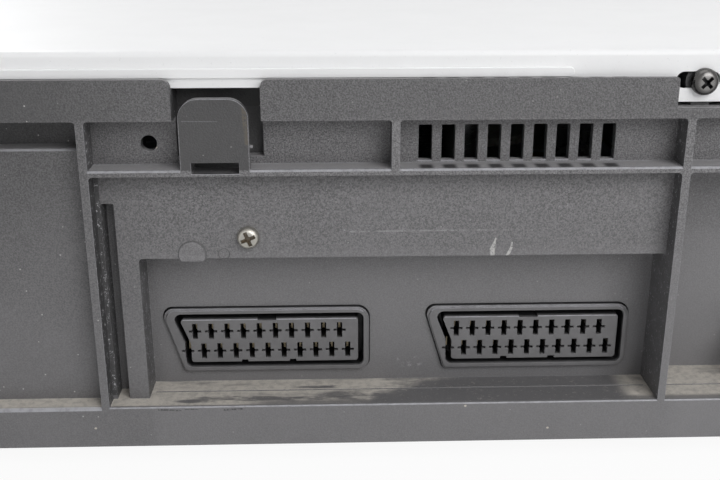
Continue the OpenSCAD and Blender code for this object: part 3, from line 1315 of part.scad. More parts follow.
chassis();
rear_panel();
top_cover();
front_panel();
display_window();
feet();
side_screws();
rear_screws();
panel_screws();
mains_inlet();
mains_pins();
video_socket(video_1_x);  // video_socket_1
video_socket(video_2_x);  // video_socket_2
video_contacts();
audio_jack_block();
audio_jack_sleeves();
tuner_can();
aerial_sockets();
cassette_flap();
flap_spring();
front_board();
display_tube();
tact_switches();
front_jacks();
jack_flap();
power_button();
button(0);  // eject_button
button(1);  // rewind_button
button(2);  // play_button
button(3);  // forward_button
button(4);  // record_button
button(5);  // pause_button
button(6);  // stop_button
button(8);  // channel_up_button
button(9);  // channel_down_button
main_board();
power_board();
transformer();
capacitors();
heat_sink();
signal_shield();
ribbon_cables();
board_chips();
deck_plate();
lower_drum();
head_drum();
capstan();
capstan_bearing();
pinch_arm();
pinch_roller();
reel_table(deck_x - reel_pitch / 2);  // supply_reel_table
reel_table(deck_x + reel_pitch / 2);  // takeup_reel_table
tape_guide(180 - guide_start, -1);  // supply_guide
tape_guide(guide_start, 1);  // takeup_guide
tape_heads();
carriage_frame();
carriage_slider();
cassette_holder();
loading_motor();
loading_gear();
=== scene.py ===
"""Looks, light and camera for the video cassette recorder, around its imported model."""

import json
import math

import bpy
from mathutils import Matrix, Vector


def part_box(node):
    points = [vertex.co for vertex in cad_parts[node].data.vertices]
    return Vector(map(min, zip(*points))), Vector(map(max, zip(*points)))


MM = 0.001
X, Y, Z = range(3)
UP = (0, 0, 1)
REARWARD = (0, 1, 0)
FRONTWARD = (0, -1, 0)
SIDEWAYS = (1, 0, 0)
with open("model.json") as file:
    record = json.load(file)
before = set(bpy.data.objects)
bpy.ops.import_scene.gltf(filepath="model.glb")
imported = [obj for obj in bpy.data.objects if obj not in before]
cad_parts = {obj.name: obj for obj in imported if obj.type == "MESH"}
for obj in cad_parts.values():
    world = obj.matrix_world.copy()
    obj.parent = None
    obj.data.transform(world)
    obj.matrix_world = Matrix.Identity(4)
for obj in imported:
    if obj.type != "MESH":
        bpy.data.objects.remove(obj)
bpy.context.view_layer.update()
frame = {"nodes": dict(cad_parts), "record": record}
nodes = frame["nodes"]


# Camera at the photograph's angle: its place in mm, its clipping in metres
CAMERA_PITCH = math.radians(19.12)
CAMERA_YAW = math.radians(1.78)
CAMERA_PLACE = (-10.1, 341.9, 123.5)
FOCAL_PIXELS = 969.7
PICTURE_WIDTH = 720
SENSOR_WIDTH = 36
CLIP_START = 0.01
CLIP_END = 20


def aim(direction):
    """The turn that points a camera or a lamp along a direction."""
    return direction.to_track_quat("-Z", "Y").to_euler()


def make_camera():
    forward = Vector((
        -math.sin(CAMERA_YAW) * math.cos(CAMERA_PITCH),
        -math.cos(CAMERA_YAW) * math.cos(CAMERA_PITCH),
        -math.sin(CAMERA_PITCH),
    ))
    data = bpy.data.cameras.new("camera")
    data.sensor_width = SENSOR_WIDTH
    data.lens = FOCAL_PIXELS / PICTURE_WIDTH * SENSOR_WIDTH
    data.clip_start = CLIP_START
    data.clip_end = CLIP_END
    camera = bpy.data.objects.new("camera", data)
    camera.location = Vector(CAMERA_PLACE) * MM
    camera.rotation_euler = aim(forward)
    bpy.context.scene.collection.objects.link(camera)
    bpy.context.scene.camera = camera


# Helpers for shader nodes
def fill(tree, node, key, value):
    """Links a socket to one input of a node, or sets that input's value."""
    if isinstance(value, bpy.types.NodeSocket):
        tree.links.new(value, node.inputs[key])
    elif value is not None:
        node.inputs[key].default_value = value


def add_node(tree, kind, *values, **props):
    """A new node with its properties set and its inputs filled in their order."""
    node = tree.nodes.new(kind)
    for key, value in props.items():
        setattr(node, key, value)
    for index, value in enumerate(values):
        fill(tree, node, index, value)
    return node


# Cosines between which a surface counts as level, rounded off, outer, front or upright
LEVEL = (0.6, 0.95)
ROUNDED = (0.15, 0.35)
OUTER = (0.3, 0.6)
FRONT_FACE = (0.7, 0.9)
UPRIGHT = (0.8, 0.95)

# Shares of a mark's radius out to which it covers fully
SPOT_CORE = 0.55
STROKE_CORE = 0.6
SPECK_CORE = 0.7

# Softness of printed edges in mm, and the share of wear and painted highlight on side edges
PRINT_SOFT = 0.05
SIDE_WEAR_AND_LIGHT = 0.3


class Paint:
    """Builds one node material. Places and sizes are the recorder's own, in mm."""

    def __init__(self, name, color, rough, metallic=0.0, specular=0.5):
        self.material = bpy.data.materials.new(name)
        self.material.use_nodes = True
        self.tree = self.material.node_tree
        self.shader = self.tree.nodes["Principled BSDF"]
        self.set("Base Color", (*color, 1))
        self.set("Roughness", rough)
        self.set("Metallic", metallic)
        self.set("Specular IOR Level", specular)
        self.coord = self.put("ShaderNodeTexCoord").outputs["Object"]
        self.base = None

    def set(self, channel, value):
        """Gives one channel of the shader a plain value or a pattern."""
        fill(self.tree, self.shader, channel, value)

    def put(self, kind, *values, **props):
        return add_node(self.tree, kind, *values, **props)

    def math(self, kind, a, b=None):
        return self.put("ShaderNodeMath", a, b, operation=kind).outputs[0]

    def vector(self, kind, *values):
        """Arithmetic on vectors that gives a vector."""
        return self.put("ShaderNodeVectorMath", *values, operation=kind).outputs["Vector"]

    def measure(self, kind, *values):
        """Arithmetic on vectors that gives a number."""
        return self.put("ShaderNodeVectorMath", *values, operation=kind).outputs["Value"]

    def multiply(self, *factors):
        value = factors[0]
        for factor in factors[1:]:
            value = self.math("MULTIPLY", value, factor)
        return value

    def without(self, value, mask):
        """The value where the mask is 0, and 0 where the mask is 1."""
        return self.math("MULTIPLY", value, self.math("SUBTRACT", 1.0, mask))

    def noise(self, scale, detail=3.0, rough=0.6, stretch=(1, 1, 1)):
        """Clouds from 0 to 1, pressed together along an axis where stretch is over 1."""
        place = self.put("ShaderNodeMapping", self.coord, None, None, stretch).outputs[0]
        return self.put("ShaderNodeTexNoise", place, None, scale, detail, rough).outputs["Fac"]

    def ramp(self, value, low, high, out_low=0.0, out_high=1.0, kind="SMOOTHSTEP"):
        """Passes from one output to the other while the value goes from low to high."""
        limits = (low, high, out_low, out_high)
        return self.put("ShaderNodeMapRange", value, *limits, interpolation_type=kind).outputs["Result"]

    def patches(self, scale, span, detail=3.0, rough=0.6, out=(0.0, 1.0), stretch=(1, 1, 1)):
        """Clouds made into patches: one output below the span, the other above it."""
        return self.ramp(self.noise(scale, detail, rough, stretch), *span, *out)

    def blend(self, factor, a, b):
        node = self.put("ShaderNodeMix", data_type="RGBA")
        fill(self.tree, node, "Factor", factor)
        for name, value in (("A", a), ("B", b)):
            target = [s for s in node.inputs if s.name == name and s.type == "RGBA"][0]
            if isinstance(value, bpy.types.NodeSocket):
                self.tree.links.new(value, target)
            else:
                target.default_value = (*value, 1)
        return [s for s in node.outputs if s.type == "RGBA"][0]

    def coat(self, color, *masks):
        """Lays a colour over the base wherever all the masks are above 0."""
        self.base = self.blend(self.multiply(*masks), self.base, color)

    def show(self):
        """Gives the shader the finished base colour."""
        self.set("Base Color", self.base)

    def bump(self, height, distance):
        node = self.put("ShaderNodeBump")
        fill(self.tree, node, "Strength", 1.0)
        fill(self.tree, node, "Distance", distance * MM)
        fill(self.tree, node, "Height", height)
        self.set("Normal", node.outputs[0])

    def faces(self, direction, span, both_ways=False):
        """1 where the real surface faces along a direction, by the cosine between them."""
        normal = self.put("ShaderNodeNewGeometry").outputs["True Normal"]
        cosine = self.measure("DOT_PRODUCT", normal, direction)
        if both_ways:
            cosine = self.math("ABSOLUTE", cosine)
        return self.ramp(cosine, *span)

    def axis(self, index):
        return self.put("ShaderNodeSeparateXYZ", self.coord).outputs[index]

    def along(self, index, low, high, out_low=0.0, out_high=1.0):
        """Passes from one output to the other between two places on an axis."""
        return self.ramp(self.axis(index), low * MM, high * MM, out_low, out_high)

    def within(self, index, low, high, soft=0.3):
        """1 between two places on an axis, with soft edges."""
        above = self.along(index, low - soft, low + soft)
        below = self.along(index, high - soft, high + soft, 1, 0)
        return self.math("MULTIPLY", above, below)

    def box(self, x, y, z, soft=0.1):
        """1 inside a box, an axis of None being free."""
        spans = [(index, span) for index, span in enumerate((x, y, z)) if span is not None]
        return self.multiply(*(self.within(index, *span, soft) for index, span in spans))

    def spot(self, centre, size):
        """1 in the middle of an ellipsoid, 0 outside it."""
        moved = self.vector("SUBTRACT", self.coord, tuple(c * MM for c in centre))
        scaled = self.vector("MULTIPLY", moved, tuple(1 / (s * MM) for s in size))
        return self.ramp(self.measure("LENGTH", scaled), SPOT_CORE, 1.0, 1, 0)

    def flat(self):
        """The place on the wall, whatever the depth."""
        return self.vector("MULTIPLY", self.coord, (1, 0, 1))

    def disc(self, place, radius, soft=0.1):
        """1 inside a circle about an (x, z) place, at any depth."""
        centre = (place[0] * MM, 0, place[1] * MM)
        distance = self.measure("DISTANCE", self.flat(), centre)
        return self.ramp(distance, (radius - soft) * MM, (radius + soft) * MM, 1, 0)

    def ring(self, place, inner, outer):
        """1 between two circles about an (x, z) place, at any depth."""
        return self.without(self.disc(place, outer), self.disc(place, inner))

    def stroke(self, start, end, radius_start, radius_end):
        """1 near the line between two (x, z) places, 0 further off."""
        a = Vector((start[0], 0, start[1])) * MM
        along = Vector((end[0], 0, end[1])) * MM - a
        offset = self.vector("SUBTRACT", self.flat(), tuple(a))
        dot = self.measure("DOT_PRODUCT", offset, tuple(along / along.length_squared))
        share = self.ramp(dot, 0, 1, kind="LINEAR")
        reach = self.vector("SCALE", tuple(along), None, None, share)
        distance = self.measure("LENGTH", self.vector("SUBTRACT", offset, reach))
        radius = self.ramp(share, 0, 1, radius_start * MM, radius_end * MM, "LINEAR")
        return self.ramp(self.math("DIVIDE", distance, radius), STROKE_CORE, 1.0, 1, 0)

    def wedge(self, tip, base, half, index):
        """1 inside a triangle that widens along one axis, from its (x, z) tip to its base."""
        other = X + Z - index
        tips = {X: tip[0], Z: tip[1]}
        run = self.math("SUBTRACT", self.axis(index), tips[index] * MM)
        share = self.math("DIVIDE", run, (base - tips[index]) * MM)
        off = self.math("ABSOLUTE", self.math("SUBTRACT", self.axis(other), tips[other] * MM))
        inside = self.math("SUBTRACT", self.math("MULTIPLY", share, half * MM), off)
        slanted_sides = self.ramp(inside, -PRINT_SOFT * MM, PRINT_SOFT * MM)
        return self.multiply(slanted_sides, self.ramp(share, 0.97, 1.03, 1, 0))

    def specks(self, cell, radius):
        """1 on small scattered dots, one at most in each cell."""
        cells = self.put("ShaderNodeTexVoronoi", self.coord, None, 1 / (cell * MM))
        share = radius / cell
        return self.ramp(cells.outputs["Distance"], SPECK_CORE * share, share, 1, 0)

    def worn_and_lit_edges(self, color, where, top):
        """Paler rounded edges in one region, partly wear and partly painted highlight, the upper ones most.
        """
        out = self.multiply(self.faces(REARWARD, ROUNDED), where)
        uneven = self.patches(500, (0.3, 0.6), 3, 0.7, (0.55, 1.0))
        self.coat(color, out, self.faces(SIDEWAYS, ROUNDED, both_ways=True), uneven, SIDE_WEAR_AND_LIGHT)
        self.coat(color, out, self.faces(UP, ROUNDED), uneven, top)


# Plain finishes, their grain in mm
PALE_DUST = (0.42, 0.39, 0.35)
METAL_GRAIN = 0.006


def shade(color, factor):
    """The colour made darker or paler, at most white."""
    return tuple(min(1.0, c * factor) for c in color)


def moulded(name, color, rough, dust, mottle=0.10, grain=0.04, grain_scale=2600, specular=0.5):
    """Moulded plastic with fine grain, slight mottling and a little dust on top."""
    p = Paint(name, color, rough, specular=specular)
    cloud = p.patches(90, (0.35, 0.65), 4)
    p.base = p.blend(cloud, shade(color, 1 - mottle), shade(color, 1 + mottle))
    if dust:
        fluff = p.patches(420, (0.42, 0.66), 5, 0.7)
        p.coat(PALE_DUST, p.faces(UP, LEVEL), fluff, dust)
    p.show()
    p.set("Roughness", p.patches(240, (0.3, 0.7), out=(max(rough - 0.06, 0.05), rough + 0.08)))
    if grain:
        p.bump(p.noise(grain_scale, 2, 0.5), grain)
    return p


def front_plastic(name, color, rough):
    """Silver-lacquered plastic with fine flakes, even enough to show no clouds."""
    p = Paint(name, color, rough, metallic=0.35)
    flakes = p.patches(2600, (0.3, 0.7), 2, 0.7)
    p.base = p.blend(flakes, shade(color, 0.90), shade(color, 1.10))
    p.coat(shade(color, 0.94), p.patches(14, (0.35, 0.65), out=(0, 0.3)))
    p.show()
    p.set("Roughness", p.patches(900, (0.3, 0.7), out=(rough - 0.03, rough + 0.03)))
    p.bump(p.noise(2800, 2, 0.5), 0.01)
    return p


def metal(name, color, rough, streak=(1, 1, 1), streak_scale=600, tarnish=0.12):
    """Bare or plated metal with fine streaks and slight tarnish."""
    p = Paint(name, color, rough, metallic=1.0)
    streaks = p.noise(streak_scale, 3, 0.6, streak)
    p.base = p.blend(p.patches(120, (0.35, 0.7), 4), shade(color, 1 - tarnish), color)
    p.show()
    p.set("Roughness", p.ramp(streaks, 0.3, 0.7, max(rough - 0.08, 0.04), rough + 0.1))
    p.bump(streaks, METAL_GRAIN)
    return p


def cover_paint():
    """Sprayed paint on sheet steel: orange peel and faint dark specks."""
    color = (0.90, 0.90, 0.905)
    rough = 0.42
    p = Paint("cover_paint", color, rough, specular=0.3)
    p.base = p.blend(p.patches(60, (0.3, 0.7), 4), shade(color, 0.985), shade(color, 1.005))
    p.coat(shade(color, 0.7), p.patches(1500, (0.66, 0.74), 2, 0.8), 0.35)
    p.show()
    p.set("Roughness", p.patches(300, (0.3, 0.7), out=(rough - 0.03, rough + 0.03)))
    p.bump(p.noise(1400, 2, 0.5), 0.02)
    return p


# The keys and their printed symbols, sizes in mm from the middle of each key
PRINT_GREY = (0.05, 0.05, 0.055)
PRINT_RED = (0.30, 0.02, 0.02)
PRINT_COVER = 0.9
RECORD_DOT_RADIUS = 1.4


def face_centre(name):
    """Middle of a node in (x, z), in mm."""
    low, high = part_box(name)
    return tuple((low[i] + high[i]) / 2 / MM for i in (X, Z))


def key_symbols(p):
    """The masks of the plain transport symbols, each at its own key."""

    def bar(name, left, right, high, low):
        x, z = face_centre(name)
        return p.box((x + left, x + right), None, (z + low, z + high), PRINT_SOFT)

    def sideways(name, tip, base, half):
        x, z = face_centre(name)
        return p.wedge((x + tip, z), x + base, half, X)

    def vertical(name, tip, base, half):
        x, z = face_centre(name)
        return p.wedge((x, z + tip), z + base, half, Z)

    power = face_centre("power_button")
    circle = p.math("SUBTRACT", p.disc(power, 2.4), p.disc(power, 1.9))
    return [
        vertical("eject_button", 1.5, -0.3, 1.7),
        bar("eject_button", -1.7, 1.7, -0.7, -1.3),
        sideways("rewind_button", -2.1, 0.0, 1.3),
        sideways("rewind_button", 0.0, 2.1, 1.3),
        sideways("play_button", 1.6, -1.1, 1.5),
        sideways("forward_button", 0.0, -2.1, 1.3),
        sideways("forward_button", 2.1, 0.0, 1.3),
        bar("stop_button", -1.3, 1.3, 1.3, -1.3),
        bar("pause_button", -1.2, -0.4, 1.4, -1.4),
        bar("pause_button", 0.4, 1.2, 1.4, -1.4),
        vertical("channel_up_button", 1.1, -0.9, 1.5),
        vertical("channel_down_button", -1.1, 0.9, 1.5),
        circle,
        bar("power_button", -0.2, 0.2, 3.2, 1.0),
    ]


def key_plastic():
    """The keys, with their symbols printed in dark grey and the recording dot in red."""
    p = front_plastic("key_plastic", (0.42, 0.42, 0.435), 0.34)
    front = p.faces(FRONTWARD, FRONT_FACE)
    for symbol in key_symbols(p):
        p.coat(PRINT_GREY, symbol, front, PRINT_COVER)
    dot = p.disc(face_centre("record_button"), RECORD_DOT_RADIUS)
    p.coat(PRINT_RED, dot, front, PRINT_COVER)
    p.show()
    return p


# Colours of the rear wall
WALL_GREY = (0.146, 0.143, 0.147)
EDGE_GREY = (0.44, 0.44, 0.47)
SHADE_BLACK = (0.014, 0.014, 0.015)
DUST = (0.60, 0.56, 0.505)
GRIT = (0.62, 0.62, 0.64)
NICK_WHITE = (0.50, 0.49, 0.48)
SCUFF_GREY = (0.36, 0.36, 0.36)
SPECK_BEIGE = (0.58, 0.53, 0.46)
RUB_BROWN = (0.17, 0.135, 0.085)
SOCKET_CRUMB = (0.42, 0.41, 0.42)
WALL_CRUMB = (0.46, 0.45, 0.44)

# Depths on the rear wall, in mm along Y
REAR_Y = 142.5
FIELD_Y = REAR_Y - 4.4
PLATE_Y = REAR_Y - 5.0
BAY_Y = REAR_Y - 5.9
SLOT_Y = REAR_Y - 6.2
POCKET_Y = REAR_Y - 12
SOCKET_Y = REAR_Y - 12.9
SOCKET_FACE_Y = 130.8

# Heights on the rear wall, in mm along Z
SILL_Z = 14.1
FINE_GRAIN_Z = SILL_Z + 6
SOCKET_EDGE_Z = 30.8
SOCKET_RIM_Z = 32.3
SOCKET_TOP_Z = 48.8
RIB_Z = 68.8
BAY_Z = 70.2
PLATE_TOP_Z = 73.9
LIP_Z = 80.7
TOP_Z = LIP_Z + 9

# Places across the rear wall, in mm along X
WALL_END_X = 180
LEFT_BAY_X = 43.0
LEFT_RIB_X = 41.2
SLIT_EDGE_X = 40.2
RIGHT_BAY_X = -87.0
TONGUE_X = (7.0, 21.7)
TONGUE_SLOT_X = (9.4, 19.3)
POCKET_X = (4.4, 22.9)
SOCKET_INSERTS_X = ((-77.9, -36.6), (-15.7, 25.6))
VENT_X = -30.65
VENT_PITCH = 5.01
VENT_COUNT = 9

# Broad painted light and shade: where each one fades in, in mm
LEFT_SHADE_X = (20, 60)
LEFT_SHADE_Z = (25, 78)
RIGHT_PAINTED_LIGHT_X = (-92, -86)
FIELD_PAINTED_LIGHT_X = (33, 29)

# Round ejector marks: place in (x, z) and radius, in mm
LARGE_MARK = (20.9, 49.8)
LARGE_MARK_RADIUS = 3.1
SMALL_MARK = (13.9, 49.75)
SMALL_MARK_RADIUS = 1.15

# Dust on the floor of the socket recess: where it is wiped, in mm
WIPED_X = (-32, -24)
WIPE_SLANT = 1.7
WIPE_SLANT_Y = REAR_Y - 8
WIPE_RAGGED = 22
RIGHT_DUST_X = (-82, -77)
BRUSHED_X = (14, 2)
BRUSHED_Y = (REAR_Y - 3.2, REAR_Y - 1.6)
SMEAR_HEIGHT = 2
SMEARS = (
    ((22.0, 139.8), (6.0, 1.2)),
    ((15.5, 138.4), (8.0, 1.4)),
    ((7.5, 138.9), (8.0, 1.6)),
    ((-3.0, 139.4), (8.0, 1.5)),
    ((-17.0, 137.9), (14.0, 3.2)),
    ((-31.0, 136.5), (9.0, 3.4)),
    ((-8.0, 133.6), (9.0, 0.9)),
)

# Marks of wear: the ends of each stroke in (x, z) and its two radii, in mm
SCRATCHES = (
    ((-46.8, 52.9), (-46.5, 51.6), 0.20, 0.36),
    ((-46.5, 51.6), (-46.1, 50.2), 0.45, 0.70),
    ((-46.1, 50.2), (-46.2, 49.1), 0.72, 0.62),
    ((-50.5, 51.9), (-50.4, 50.7), 0.18, 0.30),
    ((-50.4, 50.7), (-49.9, 49.5), 0.32, 0.42),
    ((-49.9, 49.5), (-49.5, 48.9), 0.42, 0.30),
)
DARK_MARKS = (
    ((30.0, 13.5), (25.0, 13.2), 0.30, 0.20),
    ((24.0, 13.5), (21.0, 13.4), 0.15, 0.12),
    ((15.0, 13.2), (11.0, 13.4), 0.25, 0.30),
)
SCUFF = ((-14.5, 54.8), (-39.5, 54.9), 0.26, 0.24)
FAINT_SCUFF = ((-39.5, 54.9), (-52.0, 54.8), 0.22, 0.15)
TONGUE_RUB = ((7.9, 83.5), (7.5, 76.0), 0.6, 0.5)
TONGUE_LINE = ((20.8, 80.8), (13.5, 80.7), 0.14, 0.10)
SPECKS = ((44.8, 8.9), (-40.8, 13.3), (-60.4, 7.2), (96.0, 61.0), (-120.5, 66.0), (27.5, 73.9))
SPECK_LENGTH = 0.1
SPECK_RADII = (0.32, 0.28)
CRUMB_PATCH = ((-27.5, SOCKET_Y, 18.2), (5.5, 4, 2.6))
CRUMB_CELL = 3.2
CRUMB_RADIUS = 0.2


def sandy(p, strength):
    """Coarse moulded grain: dark and light grains with a few glints."""
    grains = p.patches(2900, (0.34, 0.66), 2, 0.7)
    base = p.blend(grains, shade(WALL_GREY, 1 - strength), shade(WALL_GREY, 1 + strength))
    glint = p.multiply(p.patches(3600, (0.60, 0.70), 2, 0.8), 1.7 * strength)
    return p.blend(glint, base, shade(WALL_GREY, 2.6))


def wall_tones(p):
    """Broad tones of the wall: finer and plainer grain low down, painted shade on the top band and at the
    left.
    """
    plain = p.along(Z, FINE_GRAIN_Z, LIP_Z, 0.30, 1.0)
    p.base = p.blend(plain, WALL_GREY, sandy(p, 0.52))
    p.coat(shade(WALL_GREY, 1.5), p.patches(38, (0.3, 0.7), 4), 0.22)
    # Painted shade on the top band, which gets less light from below
    p.coat(shade(WALL_GREY, 0.35), p.along(Z, LIP_Z - 1, LIP_Z + 1), 0.42)
    # Painted shade over the upper left, where less light falls
    p.coat(shade(WALL_GREY, 0.35), p.along(X, *LEFT_SHADE_X), p.along(Z, *LEFT_SHADE_Z), 0.60)


def side_walls(p):
    """Painted shade on the side walls of the recesses, painted light on the right end, and painted shade
    with grit on the strip by the slit.
    """
    sideways = p.faces(SIDEWAYS, UPRIGHT, both_ways=True)
    # Painted shade on the side walls, where the light only grazes them
    p.coat(shade(WALL_GREY, 0.45), sideways, 0.8)
    right = p.along(X, *RIGHT_PAINTED_LIGHT_X, 1, 0)
    # Painted light on the right end, where more light falls
    p.coat(shade(WALL_GREY, 1.6), right, p.along(Z, RIB_Z, RIB_Z - 4), 0.3)
    strip = p.box((SLIT_EDGE_X, LEFT_RIB_X + 0.1), (FIELD_Y - 0.5, REAR_Y - 0.4), (SILL_Z + 1, RIB_Z - 0.2))
    # Painted shade on the strip between the slit and the left rib; the grit laid next is dirt
    p.coat(shade(WALL_GREY, 0.2), strip, 0.75)
    p.coat(GRIT, p.math("MAXIMUM", sideways, strip), p.patches(1300, (0.58, 0.66), 3, 0.8), 0.7)


def field_tones(p):
    """Painted light below the screwed field, painted shade right under the long rib and in the groove."""
    below = p.along(Z, SOCKET_TOP_Z + 3, SOCKET_TOP_Z, 0, 0.3)
    # Painted light on the lower wall, as from the bright floor below
    p.coat(shade(WALL_GREY, 1.55), below, p.along(X, *FIELD_PAINTED_LIGHT_X))
    under = p.box((RIGHT_BAY_X, SLIT_EDGE_X), (FIELD_Y - 0.5, FIELD_Y + 0.3), (RIB_Z - 4, RIB_Z), 1.5)
    # Painted shadow right under the long rib
    p.coat(shade(WALL_GREY, 0.3), under, 0.22)
    groove = p.box((LEFT_BAY_X, WALL_END_X), (REAR_Y - 11, REAR_Y - 5.4), (PLATE_TOP_Z - 1, LIP_Z + 1))
    # Painted shade deep in the groove under the lip
    p.coat(SHADE_BLACK, groove, 0.45)


def tongue_tones(p):
    """The smoother, darker tongue, and painted shade in its slot, in the pocket behind it and in the notch
    behind the lip's top.
    """
    sides = (TONGUE_X[0] + 0.2, TONGUE_X[1] - 0.2)
    tongue = p.box(sides, (REAR_Y - 2.2, REAR_Y + 0.2), (RIB_Z + 1.4, TOP_Z))
    p.coat(shade(WALL_GREY, 0.38), tongue, 0.92)
    slot = p.box(TONGUE_SLOT_X, (SLOT_Y, REAR_Y - 0.25), (BAY_Z - 1.0, BAY_Z + 1.62), 0.03)
    # Painted shade: the slot looks into the dark inside
    p.coat(SHADE_BLACK, slot, 0.9)
    pocket = p.box(POCKET_X, (POCKET_Y, SLOT_Y), (BAY_Z + 1.4, TOP_Z))
    # Painted shade in the pocket behind the tongue
    p.coat(shade(WALL_GREY, 0.42), pocket, 0.9)
    behind = p.box(None, (REAR_Y - 19, REAR_Y - 2.2), (LIP_Z + 1.5, LIP_Z + 12))
    # Painted shade in the notch behind the lip's top edge
    p.coat(shade(WALL_GREY, 0.30), behind, 0.75)


def wall_edges(p):
    """Worn edges with painted highlights, on the outer faces and on the plate in the plain bay."""
    tongue = p.within(X, *TONGUE_X)
    below_band = p.math("MAXIMUM", tongue, p.along(Z, LIP_Z - 1, LIP_Z - 0.5, 1, 0))
    outer = p.multiply(p.along(Y, REAR_Y - 0.8, REAR_Y - 0.7), below_band)
    plate_top = (PLATE_TOP_Z - 1, PLATE_TOP_Z + 1)
    plate = p.box((LEFT_BAY_X, WALL_END_X), (PLATE_Y - 0.6, PLATE_Y + 0.2), plate_top)
    # Wear and painted highlight on the rounded edges
    p.worn_and_lit_edges(EDGE_GREY, p.math("MAXIMUM", outer, plate), 0.8)


def thick_dust(p):
    """Where the dust of the socket recess is thick: at both ends, beside the wiped stretch."""
    # The wiped stretch ends in a slanted, ragged edge
    slant = p.math("MULTIPLY", p.math("SUBTRACT", p.axis(Y), WIPE_SLANT_Y * MM), WIPE_SLANT)
    ragged = p.math("MULTIPLY", p.math("SUBTRACT", p.noise(150, 5, 0.7), 0.5), WIPE_RAGGED * MM)
    edge = p.math("SUBTRACT", p.math("ADD", p.axis(X), ragged), slant)
    left = p.ramp(edge, WIPED_X[0] * MM, WIPED_X[1] * MM)
    thick = p.math("MAXIMUM", left, p.along(X, *RIGHT_DUST_X, 1, 0))
    # Along the front edge the dust has been brushed off, more so towards the right
    thick = p.without(thick, p.multiply(p.along(Y, *BRUSHED_Y), p.along(X, *BRUSHED_X), 0.8))
    uneven = p.patches(170, (0.36, 0.56), 4, 0.7, stretch=(0.5, 1.6, 1))
    for (x, y), (width, depth) in SMEARS:
        rubbed = p.spot((x, y, SILL_Z), (width, depth, SMEAR_HEIGHT))
        thick = p.without(thick, p.multiply(rubbed, uneven, 0.95))
    return thick


def recess_dust(p, top, inside, fine):
    """Dust on the socket recess's floor: thick and pale at the left, wiped at the right."""
    low = p.along(Z, SILL_Z + 0.5, SILL_Z + 1.5, 1, 0)
    floor = p.multiply(top, inside, low)
    smear = p.patches(105, (0.52, 0.68), 4, 0.65, (1, 0.30), (0.32, 1.5, 1))
    fluff = p.patches(620, (0.32, 0.60), 5, 0.75, (0.60, 1.0))
    p.coat(shade(WALL_GREY, 0.72), floor, 0.55)
    p.coat(DUST, floor, thick_dust(p), smear, fluff, 0.97)
    p.coat(DUST, floor, fine, 0.40)


def bay_floor_dust_and_light(p, top, inside, fine):
    """Floors of the upper bays: painted light with a little dust and a line of crumbs, a painted reflection
    of each dark vent slot, and a painted highlight along each slot's sill.
    """
    high = p.along(Z, BAY_Z - 1, BAY_Z - 0.5)
    # Painted light on the level floors of the upper bays
    p.coat(shade(WALL_GREY, 2.6), top, inside, high, 0.8)
    p.coat(DUST, top, inside, high, fine, 0.5)
    rear_line = p.within(Y, BAY_Y - 0.1, BAY_Y + 0.5, 0.2)
    p.coat(EDGE_GREY, top, high, rear_line, p.patches(1100, (0.46, 0.6), 3, 0.8), 0.8)
    step = p.math("PINGPONG", p.math("SUBTRACT", p.axis(X), VENT_X * MM), VENT_PITCH / 2 * MM)
    row = p.within(X, VENT_X - (VENT_COUNT - 0.5) * VENT_PITCH, VENT_X + 0.5 * VENT_PITCH)
    across = p.ramp(step, 0.8 * MM, 2.1 * MM, 1, 0)
    deep = p.within(Y, REAR_Y - 3.8, REAR_Y - 0.6, 0.8)
    # Painted reflection of each dark vent slot in the floor in front of it
    p.coat(SHADE_BLACK, across, deep, row, top, high, 0.9)
    # A thin painted highlight along the bottom of each slot
    sills = p.multiply(p.ramp(step, 1.45 * MM, 1.6 * MM, 1, 0), row)
    line = p.box(None, (BAY_Y - 0.6, BAY_Y + 0.2), (BAY_Z + 0.15, BAY_Z + 0.5))
    p.coat(EDGE_GREY, sills, line, 0.7)


def field_marks(p, field, ragged):
    """White nicks and a long scuff in the screwed field, and the two ejector marks."""
    for scratch in SCRATCHES:
        p.coat(NICK_WHITE, p.stroke(*scratch), field, ragged, 0.9)
    broken = p.patches(640, (0.36, 0.56), 3, 0.7)
    p.coat(SCUFF_GREY, p.stroke(*SCUFF), field, broken, 0.42)
    p.coat(SCUFF_GREY, p.stroke(*FAINT_SCUFF), field, broken, 0.25)
    # Painted shade outlines both marks, and the large one is paler with a cloudy painted sheen
    inner = LARGE_MARK_RADIUS - 0.2
    cloudy = p.patches(330, (0.3, 0.7), 4, 0.7, (0.15, 1.0))
    outline = p.ring(LARGE_MARK, inner, LARGE_MARK_RADIUS + 0.12)
    p.coat(shade(WALL_GREY, 0.4), outline, field, 0.6)
    p.coat(shade(WALL_GREY, 1.9), p.disc(LARGE_MARK, inner), field, cloudy, 0.65)
    outline = p.ring(SMALL_MARK, SMALL_MARK_RADIUS, SMALL_MARK_RADIUS + 0.25)
    p.coat(shade(WALL_GREY, 0.4), outline, field, 0.55)


def wall_marks(p, face, ragged):
    """Crumbs, specks of dirt and dark marks over the wall, and a rub on the tongue."""
    back = p.within(Y, SOCKET_Y - 0.4, SOCKET_Y + 0.4)
    crumbs = p.patches(800, (0.56, 0.66), 3, 0.8)
    p.coat(SOCKET_CRUMB, p.spot(*CRUMB_PATCH), crumbs, back, 0.4)
    for x, z in SPECKS:
        speck = p.stroke((x, z), (x + SPECK_LENGTH, z), *SPECK_RADII)
        p.coat(SPECK_BEIGE, speck, face, 0.9)
    for mark in DARK_MARKS:
        p.coat(SHADE_BLACK, p.stroke(*mark), face, ragged, 0.7)
    near = p.within(Y, REAR_Y - 1, REAR_Y + 0.2)
    p.coat(RUB_BROWN, p.stroke(*TONGUE_RUB), near, ragged, face, 0.35)
    p.coat(EDGE_GREY, p.stroke(*TONGUE_LINE), face, 0.16)
    # Small pale crumbs cling everywhere, most of them to the plain bay and the ribs
    many = p.along(X, LEFT_RIB_X - 8, LEFT_RIB_X, 0.35, 0.9)
    p.coat(WALL_CRUMB, p.specks(CRUMB_CELL, CRUMB_RADIUS), many)


